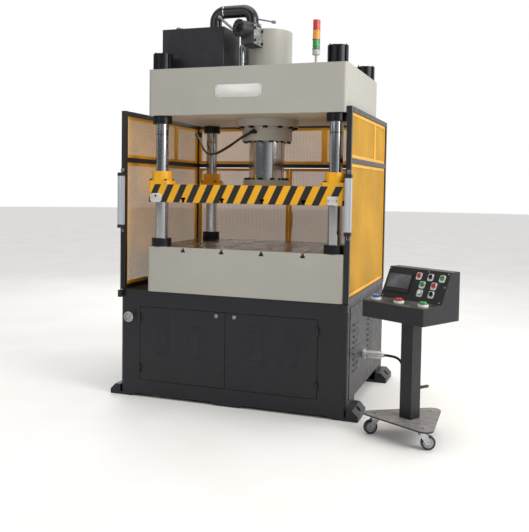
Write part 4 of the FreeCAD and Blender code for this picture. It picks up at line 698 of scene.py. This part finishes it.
for label in ("left", "right"):
    low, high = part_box("rear_mesh_" + label)
    middle = (low + high) / 2
    inner = expandedMetal(high.x - low.x + guardLook["meshOver"], high.z - low.z + guardLook["meshOver"])
    piece = putMesh("rearMesh" + label.title(), placed(inner, middle, (1, 0, 0), (0, 0, 1), (0, -1, 0)),
                    meshYellow, "guard_door_" + label)
    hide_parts("rear_mesh_" + label)
print("guard panels")

# the three directions of a face that looks to the front: right, up and out
frontWay = ((1, 0, 0), (0, 0, 1), (0, -1, 0))


def screwHead(radius, height):
    # a low domed head with a socket: the section runs up the side, over and down into the socket
    section = [(1, 0), (1, 0.55), (0.9, 0.9), (0.75, 1), (0.45, 1), (0.42, 0.45), (0.1, 0.4)]
    return turned(np.array(section) * (radius, height), 16)


def hexHead(radius, height):
    # six flats, with the corners of the top turned away
    return turned(np.array([(1, 0), (1, 0.8), (0.86, 1)]) * (radius, height), 6)


# bare nameplate on the crown, with a rivet in each corner
plateLook = {"middle": (0.048, 1.888), "width": 0.290, "height": 0.076, "corner": 0.009, "sheet": 0.0018,
             "edge": 0.0006, "rivet": (0.0036, 0.0018), "rivetsAcross": 0.136, "rivetsUp": 0.029}
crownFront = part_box("crown")[0].y
x, z = plateLook["middle"]
plate = slab(plateLook["width"], plateLook["height"], plateLook["corner"],
             softEdge(plateLook["sheet"], plateLook["edge"]))
namePlate = putMesh("namePlate", placed(plate, (x, crownFront, z), *frontWay), brushedPlate, "base")
rivets = []
for across in (-plateLook["rivetsAcross"], plateLook["rivetsAcross"]):
    for up in (-plateLook["rivetsUp"], plateLook["rivetsUp"]):
        corner = (x + across, crownFront - plateLook["sheet"], z + up)
        rivets.append(placed(screwHead(*plateLook["rivet"]), corner, *frontWay))
putMesh("namePlateRivets", gather(rivets), fastenerSteel, "base")

# two small plates on the slide's front face: one screw in the left one and two in the right one
slidePlateLook = {"sheet": 0.0025, "edge": 0.0008,
                  "plates": [(-0.4855, 1.251, (0.079, 0.054, 0.018)), (0.630, 1.252, (0.064, 0.050, 0.003))],
                  "screws": [(-0.4855, 1.262, (0.0065, 0.004)), (0.605, 1.252, (0.0035, 0.0022)),
                             (0.655, 1.252, (0.0035, 0.0022))]}
tabs = []
for x, z, size in slidePlateLook["plates"]:
    tab = slab(*size, softEdge(slidePlateLook["sheet"], slidePlateLook["edge"]))
    tabs.append(placed(tab, (x, slideLow.y, z), *frontWay))
putMesh("slidePlates", gather(tabs), brushedPlate, "slide")
screws = []
for x, z, size in slidePlateLook["screws"]:
    screws.append(placed(screwHead(*size), (x, slideLow.y - slidePlateLook["sheet"], z), *frontWay))
putMesh("slidePlateScrews", gather(screws), blackenedSteel, "slide")

# quarter-turn latches on the cabinet doors: a ring, and a bar to turn
latchLook = {"left": -0.077, "right": 0.039, "doorFace": -0.560, "height": 0.545,
             "ring": [(0.012, 0), (0.012, 0.003), (0.0105, 0.0045), (0.0078, 0.0045), (0.0078, 0.0015),
                      (0.003, 0.0015)],
             "bar": (0.0025, 0.011, 0.001), "barLevels": [(0, 0.001), (0, 0.0035)]}
for side in ("left", "right"):
    where = (latchLook[side], latchLook["doorFace"], latchLook["height"])
    ring = turned(latchLook["ring"], 28)
    bar = slab(*latchLook["bar"], latchLook["barLevels"], steps=3)
    latch = gather([placed(ring, where, *frontWay), placed(bar, where, *frontWay)])
    piece = putMesh("latch" + side.title(), latch, fastenerSteel, "front_door_" + side)

# screws round the side and rear covers
coverLook = {"screw": (0.0055, 0.0035), "sideX": 0.733, "backY": 0.563, "heights": (0.115, 0.625),
             "sidePlaces": (-0.485, -0.245, 0.0, 0.245, 0.485),
             "backPlaces": (-0.655, -0.33, 0.0, 0.33, 0.655)}
coverScrews = []
screw = screwHead(*coverLook["screw"])
for side in (-1, 1):
    for y in coverLook["sidePlaces"]:
        for z in coverLook["heights"]:
            where = (side * coverLook["sideX"], y, z)
            coverScrews.append(placed(screw, where, (0, side, 0), (0, 0, 1), (side, 0, 0)))
for x in coverLook["backPlaces"]:
    for z in coverLook["heights"]:
        coverScrews.append(placed(screw, (x, coverLook["backY"], z), (-1, 0, 0), (0, 0, 1), (0, 1, 0)))
putMesh("coverScrews", gather(coverScrews), fastenerSteel, "base")

# gauge: white dial with ticks and numbers under a clear glass
gaugeLook = {"dial": 0.0285, "dialFace": -0.568, "dialThick": 0.0006, "ticks": 41, "sweep": 270.0,
             "tickCircle": 0.0272, "longTick": (0.0007, 0.0055), "shortTick": (0.0004, 0.003),
             "tickThick": 0.0002, "numbers": ("0", "10", "20", "30", "40"), "numberSize": 0.0062,
             "numberCircle": 0.0175, "glassFace": -0.5825,
             "glass": [(0.0288, 0), (0.0288, 0.0012), (0.027, 0.0018)]}
low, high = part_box("gauge_case")
gaugeX, gaugeZ = (low.x + high.x) / 2, (low.z + high.z) / 2
dialY = gaugeLook["dialFace"]


def gaugeAngle(share):
    # share runs from 0 at the first number to 1 at the last
    return math.radians(gaugeLook["sweep"] * (share - 0.5))


dial = turned([(gaugeLook["dial"], 0), (gaugeLook["dial"], gaugeLook["dialThick"])], 48)
putMesh("gaugeDial", placed(dial, (gaugeX, dialY, gaugeZ), *frontWay), dialWhite, "base")
ticks = []
for n in range(gaugeLook["ticks"]):
    a = gaugeAngle(n / (gaugeLook["ticks"] - 1))
    out = np.array([math.sin(a), 0, math.cos(a)])
    width, length = gaugeLook["longTick" if n % 10 == 0 else "shortTick"]
    tick = slab(width, length, 0.0, [(0, 0), (0, gaugeLook["tickThick"])], steps=1)
    middle = np.array([gaugeX, dialY - gaugeLook["dialThick"], gaugeZ])
    middle = middle + out * (gaugeLook["tickCircle"] - length / 2)
    ticks.append(placed(tick, middle, (math.cos(a), 0, -math.sin(a)), out, (0, -1, 0)))
putMesh("gaugeTicks", gather(ticks), inkBlack, "base")
for n, words in enumerate(gaugeLook["numbers"]):
    a = gaugeAngle(n / (len(gaugeLook["numbers"]) - 1))
    text = bpy.data.curves.new("gaugeNumber" + words, "FONT")
    text.body, text.size, text.extrude = words, gaugeLook["numberSize"], 0.0001
    text.align_x, text.align_y = "CENTER", "CENTER"
    flat = bpy.data.objects.new("flat", text)
    bpy.context.scene.collection.objects.link(flat)
    bpy.context.view_layer.update()
    mesh = bpy.data.meshes.new_from_object(flat)
    bpy.data.objects.remove(flat)
    numberX = gaugeX + gaugeLook["numberCircle"] * math.sin(a)
    numberZ = gaugeZ + gaugeLook["numberCircle"] * math.cos(a)
    mesh.transform(Matrix(((1, 0, 0, numberX), (0, 0, -1, dialY - 0.0008), (0, 1, 0, numberZ), (0, 0, 0, 1))))
    mesh.materials.clear()
    mesh.materials.append(inkBlack)
    number = bpy.data.objects.new("gaugeNumber" + words, mesh)
    bpy.context.scene.collection.objects.link(number)
    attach(number, "base")
clearGlass, tree, shader = newMaterial("clearGlass", Roughness=0.03, IOR=1.45, Transmission_Weight=1.0)
tree.links.new(mixColour(tree, ramp(tree, noise(tree, 60.0), 0.3, 0.7), tint("ffffff"), tint("f3f6f6")),
               shader.inputs["Base Color"])
glass = placed(turned(gaugeLook["glass"], 48), (gaugeX, gaugeLook["glassFace"], gaugeZ), *frontWay)
putMesh("gaugeGlass", glass, clearGlass, "base")

# light curtains: pale window, dark ends and steel brackets
curtainLook = {"inset": 0.019, "window": (0.016, 0.296, 0.004), "windowThick": 0.0015,
               "end": (0.0405, 0.0325, 0.0055), "endOver": 0.00025, "endBack": 0.0149,
               "endLevels": [(0.001, 0), (0, 0.001), (0, 0.0195), (0.001, 0.0205)],
               "bracket": (0.022, 0.024, 0.002), "bracketThick": 0.003, "bracketFace": -0.560,
               "bracketAway": 0.014, "edge": 0.0006}
curtainLow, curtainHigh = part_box("light_curtains")
curtainMiddle = (curtainLow.z + curtainHigh.z) / 2
endHeight = curtainLook["endLevels"][-1][1]
window = slab(*curtainLook["window"], softEdge(curtainLook["windowThick"], curtainLook["edge"]))
end = slab(*curtainLook["end"], curtainLook["endLevels"])
bracket = slab(*curtainLook["bracket"], softEdge(curtainLook["bracketThick"], curtainLook["edge"]))
windows, ends, brackets = [], [], []
for side in (-1, 1):
    x = side * (curtainHigh.x - curtainLook["inset"])
    windows.append(placed(window, (x, curtainLow.y, curtainMiddle), *frontWay))
    for z in (curtainLow.z - curtainLook["endOver"], curtainHigh.z + curtainLook["endOver"] - endHeight):
        ends.append(placed(end, (x, curtainLow.y + curtainLook["endBack"], z)))
    for z in (curtainLow.z - curtainLook["bracketAway"], curtainHigh.z + curtainLook["bracketAway"]):
        brackets.append(placed(bracket, (x, curtainLook["bracketFace"], z), *frontWay))
curtainWindow, *_ = plastic("curtainWindow", {"colour": "b9bdc1", "second": "a9afb5", "gloss": 0.2,
                                              "coat": 0.5})
putMesh("curtainWindows", gather(windows), curtainWindow, "base")
putMesh("curtainEnds", gather(ends), blackPlastic, "base")
putMesh("curtainBrackets", gather(brackets), fastenerSteel, "base")

# filling valve: screws round its round cover, down its right side and on the pipe's flange
valveLook = {"root": (0.054, -0.398, 2.272), "turn": 30.0, "reach": 0.092, "circle": 0.043, "count": 8,
             "screw": (0.0055, 0.006),
             "centre": [(0.026, 0), (0.026, 0.005), (0.023, 0.007), (0.012, 0.007), (0.012, 0.011),
                        (0.009, 0.012)],
             "sideBolt": (0.010, 0.007), "sideX": 0.096, "sideY": (-0.425, -0.300), "sideZ": (2.205, 2.280),
             "flangeBolt": (0.0065, 0.005), "flange": (0.054, -0.355, 2.314), "flangeCircle": 0.0465,
             "flangeCount": 6}


def boltAngles(count):
    return 2 * math.pi * (np.arange(count) + 0.5) / count


a = math.radians(valveLook["turn"])
out, across = np.array([-math.sin(a), -math.cos(a), 0]), np.array([math.cos(a), -math.sin(a), 0])
end = np.array(valveLook["root"]) + out * valveLook["reach"]
valveScrews = []
for b in boltAngles(valveLook["count"]):
    where = end + valveLook["circle"] * (across * math.cos(b) + np.array([0, 0, math.sin(b)]))
    valveScrews.append(placed(screwHead(*valveLook["screw"]), where, across, (0, 0, 1), out))
valveScrews.append(placed(turned(valveLook["centre"], 32), end, across, (0, 0, 1), out))
for y in valveLook["sideY"]:
    for z in valveLook["sideZ"]:
        bolt = hexHead(*valveLook["sideBolt"])
        valveScrews.append(placed(bolt, (valveLook["sideX"], y, z), (0, 1, 0), (0, 0, 1), (1, 0, 0)))
for b in boltAngles(valveLook["flangeCount"]):
    where = valveLook["flange"] + valveLook["flangeCircle"] * np.array([math.cos(b), math.sin(b), 0])
    valveScrews.append(placed(hexHead(*valveLook["flangeBolt"]), where))
putMesh("valveScrews", gather(valveScrews), blackenedSteel, "base")

# joint ring on the suction pipe
jointLook = {"middle": (-0.128, -0.355, 2.399),
             "section": [(0.0379, -0.003), (0.0394, -0.003), (0.0398, 0), (0.0394, 0.003), (0.0379, 0.003)]}
joint = placed(turned(jointLook["section"], 40, closed=True), jointLook["middle"],
               (0, 1, 0), (0, 0, 1), (1, 0, 0))
putMesh("pipeJoint", joint, gaugeSteel, "base")

# dark rings under the signal lenses
towerLook = {"section": [(0.0226, -0.0015), (0.0238, -0.0012), (0.0238, 0.0012), (0.0226, 0.0015)]}
rings = []
for node in ("tower_green", "tower_amber", "tower_red"):
    low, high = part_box(node)
    seat = ((low.x + high.x) / 2, (low.y + high.y) / 2, low.z)
    rings.append(placed(turned(towerLook["section"], 40, closed=True), seat))
putMesh("towerRings", gather(rings), blackPlastic, "base")
print("small parts on the press")


# operator console: each point on its side outline is (back, height)
consoleLook = {"middle": (1.107, -0.694), "turn": -30.0, "lip": (-0.168, 0.731), "crease": (-0.022, 0.737),
               "crest": (0.058, 0.900)}
swing = math.radians(consoleLook["turn"])
deskAcross = np.array([math.cos(swing), math.sin(swing), 0])
deskBack = np.array([-math.sin(swing), math.cos(swing), 0])


def deskFace(start, end):
    # the origin and three directions of a face that rises from start to end
    slope = math.atan2(end[1] - start[1], end[0] - start[0])
    origin = np.array([*consoleLook["middle"], 0]) + deskBack * start[0] + np.array([0, 0, start[1]])
    up = deskBack * math.cos(slope) + np.array([0, 0, math.sin(slope)])
    return origin, deskAcross, up, np.cross(deskAcross, up)


panelFace = deskFace(consoleLook["crease"], consoleLook["crest"])
ledgeFace = deskFace(consoleLook["lip"], consoleLook["crease"])


def onFace(shell, face, across, up, out=0.0):
    origin, u, v, w = face
    return placed(shell, origin + u * across + v * up + w * out, u, v, w)


def legendPlate(width, height, corner, hole, thickness, drop):
    # between a rounded outline and a round hole, point for point, on two levels
    outline = roundedOutline(width, height, corner, 8) - (0, drop)
    a = np.arctan2(outline[:, 1], outline[:, 0])
    circle = hole * np.column_stack([np.cos(a), np.sin(a)])
    rings = [np.column_stack([ring, np.full(len(a), lift)]) for ring, lift in
             ((outline, 0), (outline, thickness), (circle, thickness), (circle, 0))]
    return np.concatenate(rings), [gridFaces(4, len(a), closeRows=True)]


controlLook = {"buttons": {"button_red_upper": (0.010, 0.145), "selector_upper": (0.084, 0.145),
                           "button_green_upper": (0.158, 0.145), "button_green_middle": (0.046, 0.099),
                           "button_red_middle": (0.120, 0.099), "button_white": (0.046, 0.052),
                           "selector_lower": (0.119, 0.052)},
               "palms": {"palm_blue": -0.158, "emergency_stop": -0.005, "palm_green": 0.150},
               "palmLine": 0.062, "plate": (0.036, 0.040, 0.009), "plateHole": 0.0136, "plateThick": 0.0012,
               "plateDrop": 0.003, "collarOut": 0.0013,
               "collar": [(0.0116, 0), (0.0146, 0), (0.0146, 0.003), (0.0138, 0.0045), (0.0122, 0.0045),
                          (0.0116, 0.0035)],
               "palmGuard": [(0.0235, 0), (0.0275, 0), (0.0275, 0.010), (0.0262, 0.013), (0.0248, 0.013),
                             (0.0235, 0.010)],
               "palmCollar": [(0.0118, 0), (0.0185, 0), (0.0185, 0.002), (0.0165, 0.0035), (0.0118, 0.0035)],
               "screw": (0.005, 0.003),
               "screws": [(-0.189, 0.170), (0.065, 0.172), (0.188, 0.170), (0.188, 0.096), (0.182, 0.011),
                          (-0.189, 0.011)]}
plates, collars, guards = [], [], []
legend = legendPlate(*controlLook["plate"], controlLook["plateHole"], controlLook["plateThick"],
                     controlLook["plateDrop"])
collar = turned(controlLook["collar"], 32, closed=True)
palmGuard = turned(controlLook["palmGuard"], 40, closed=True)
palmCollar = turned(controlLook["palmCollar"], 32, closed=True)
for across, up in controlLook["buttons"].values():
    plates.append(onFace(legend, panelFace, across, up))
    collars.append(onFace(collar, panelFace, across, up, controlLook["collarOut"]))
for across in controlLook["palms"].values():
    guards.append(onFace(palmGuard, ledgeFace, across, controlLook["palmLine"]))
    collars.append(onFace(palmCollar, ledgeFace, across, controlLook["palmLine"]))
putMesh("legendPlates", gather(plates), legendWhite, "base")
putMesh("buttonCollars", gather(collars), gaugeSteel, "base")
putMesh("palmGuards", gather(guards), legendWhite, "base")
panelScrews = [onFace(screwHead(*controlLook["screw"]), panelFace, across, up)
               for across, up in controlLook["screws"]]
putMesh("panelScrews", gather(panelScrews), fastenerSteel, "base")

screenLook = {"middle": (-0.108, 0.100), "size": (0.150, 0.078, 0.003), "out": 0.005,
              "levels": [(0, 0), (0, 0.0004), (0.0006, 0.0006)], "dark": "3a3d40", "pale": "63676a"}
screenGlass, tree, shader = newMaterial("screenGlass", Roughness=0.08, Coat_Weight=0.6, Coat_Roughness=0.03)
fade = ramp(tree, noise(tree, 9.0, 2.0), 0.35, 0.7)
tree.links.new(mixColour(tree, fade, tint(screenLook["dark"]), tint(screenLook["pale"])),
               shader.inputs["Base Color"])
pane = slab(*screenLook["size"], screenLook["levels"])
pane = onFace(pane, panelFace, *screenLook["middle"], screenLook["out"])
putMesh("screenGlass", pane, screenGlass, "base")

# wheel hubs and axle caps: one on each side of a wheel, which rolls along its heading in degrees
hubLook = {"headings": {"left": 215.0, "right": 20.0, "rear": 75.0}, "out": 0.0119,
           "section": [(0.0052, -0.0005), (0.0265, -0.0005), (0.0265, 0.0004), (0.0255, 0.0009),
                       (0.024, 0.0004), (0.012, 0.0004), (0.010, 0.0012), (0.0052, 0.0012), (0.0052, 0)]}
hub = turned(hubLook["section"], 40, closed=True)
for label, heading in hubLook["headings"].items():
    low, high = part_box("caster_wheel_" + label)
    middle = np.array((low + high) / 2)
    h = math.radians(heading)
    axle, rolling = np.array([-math.sin(h), math.cos(h), 0]), np.array([math.cos(h), math.sin(h), 0])
    hubs = []
    for side in (-1, 1):
        outward = np.cross(rolling * side, (0, 0, 1))
        hubs.append(placed(hub, middle + axle * side * hubLook["out"], rolling * side, (0, 0, 1), outward))
    piece = putMesh("casterHub" + label.title(), gather(hubs), fastenerSteel, "caster_wheel_" + label)
print("console and casters")
print("press finished")
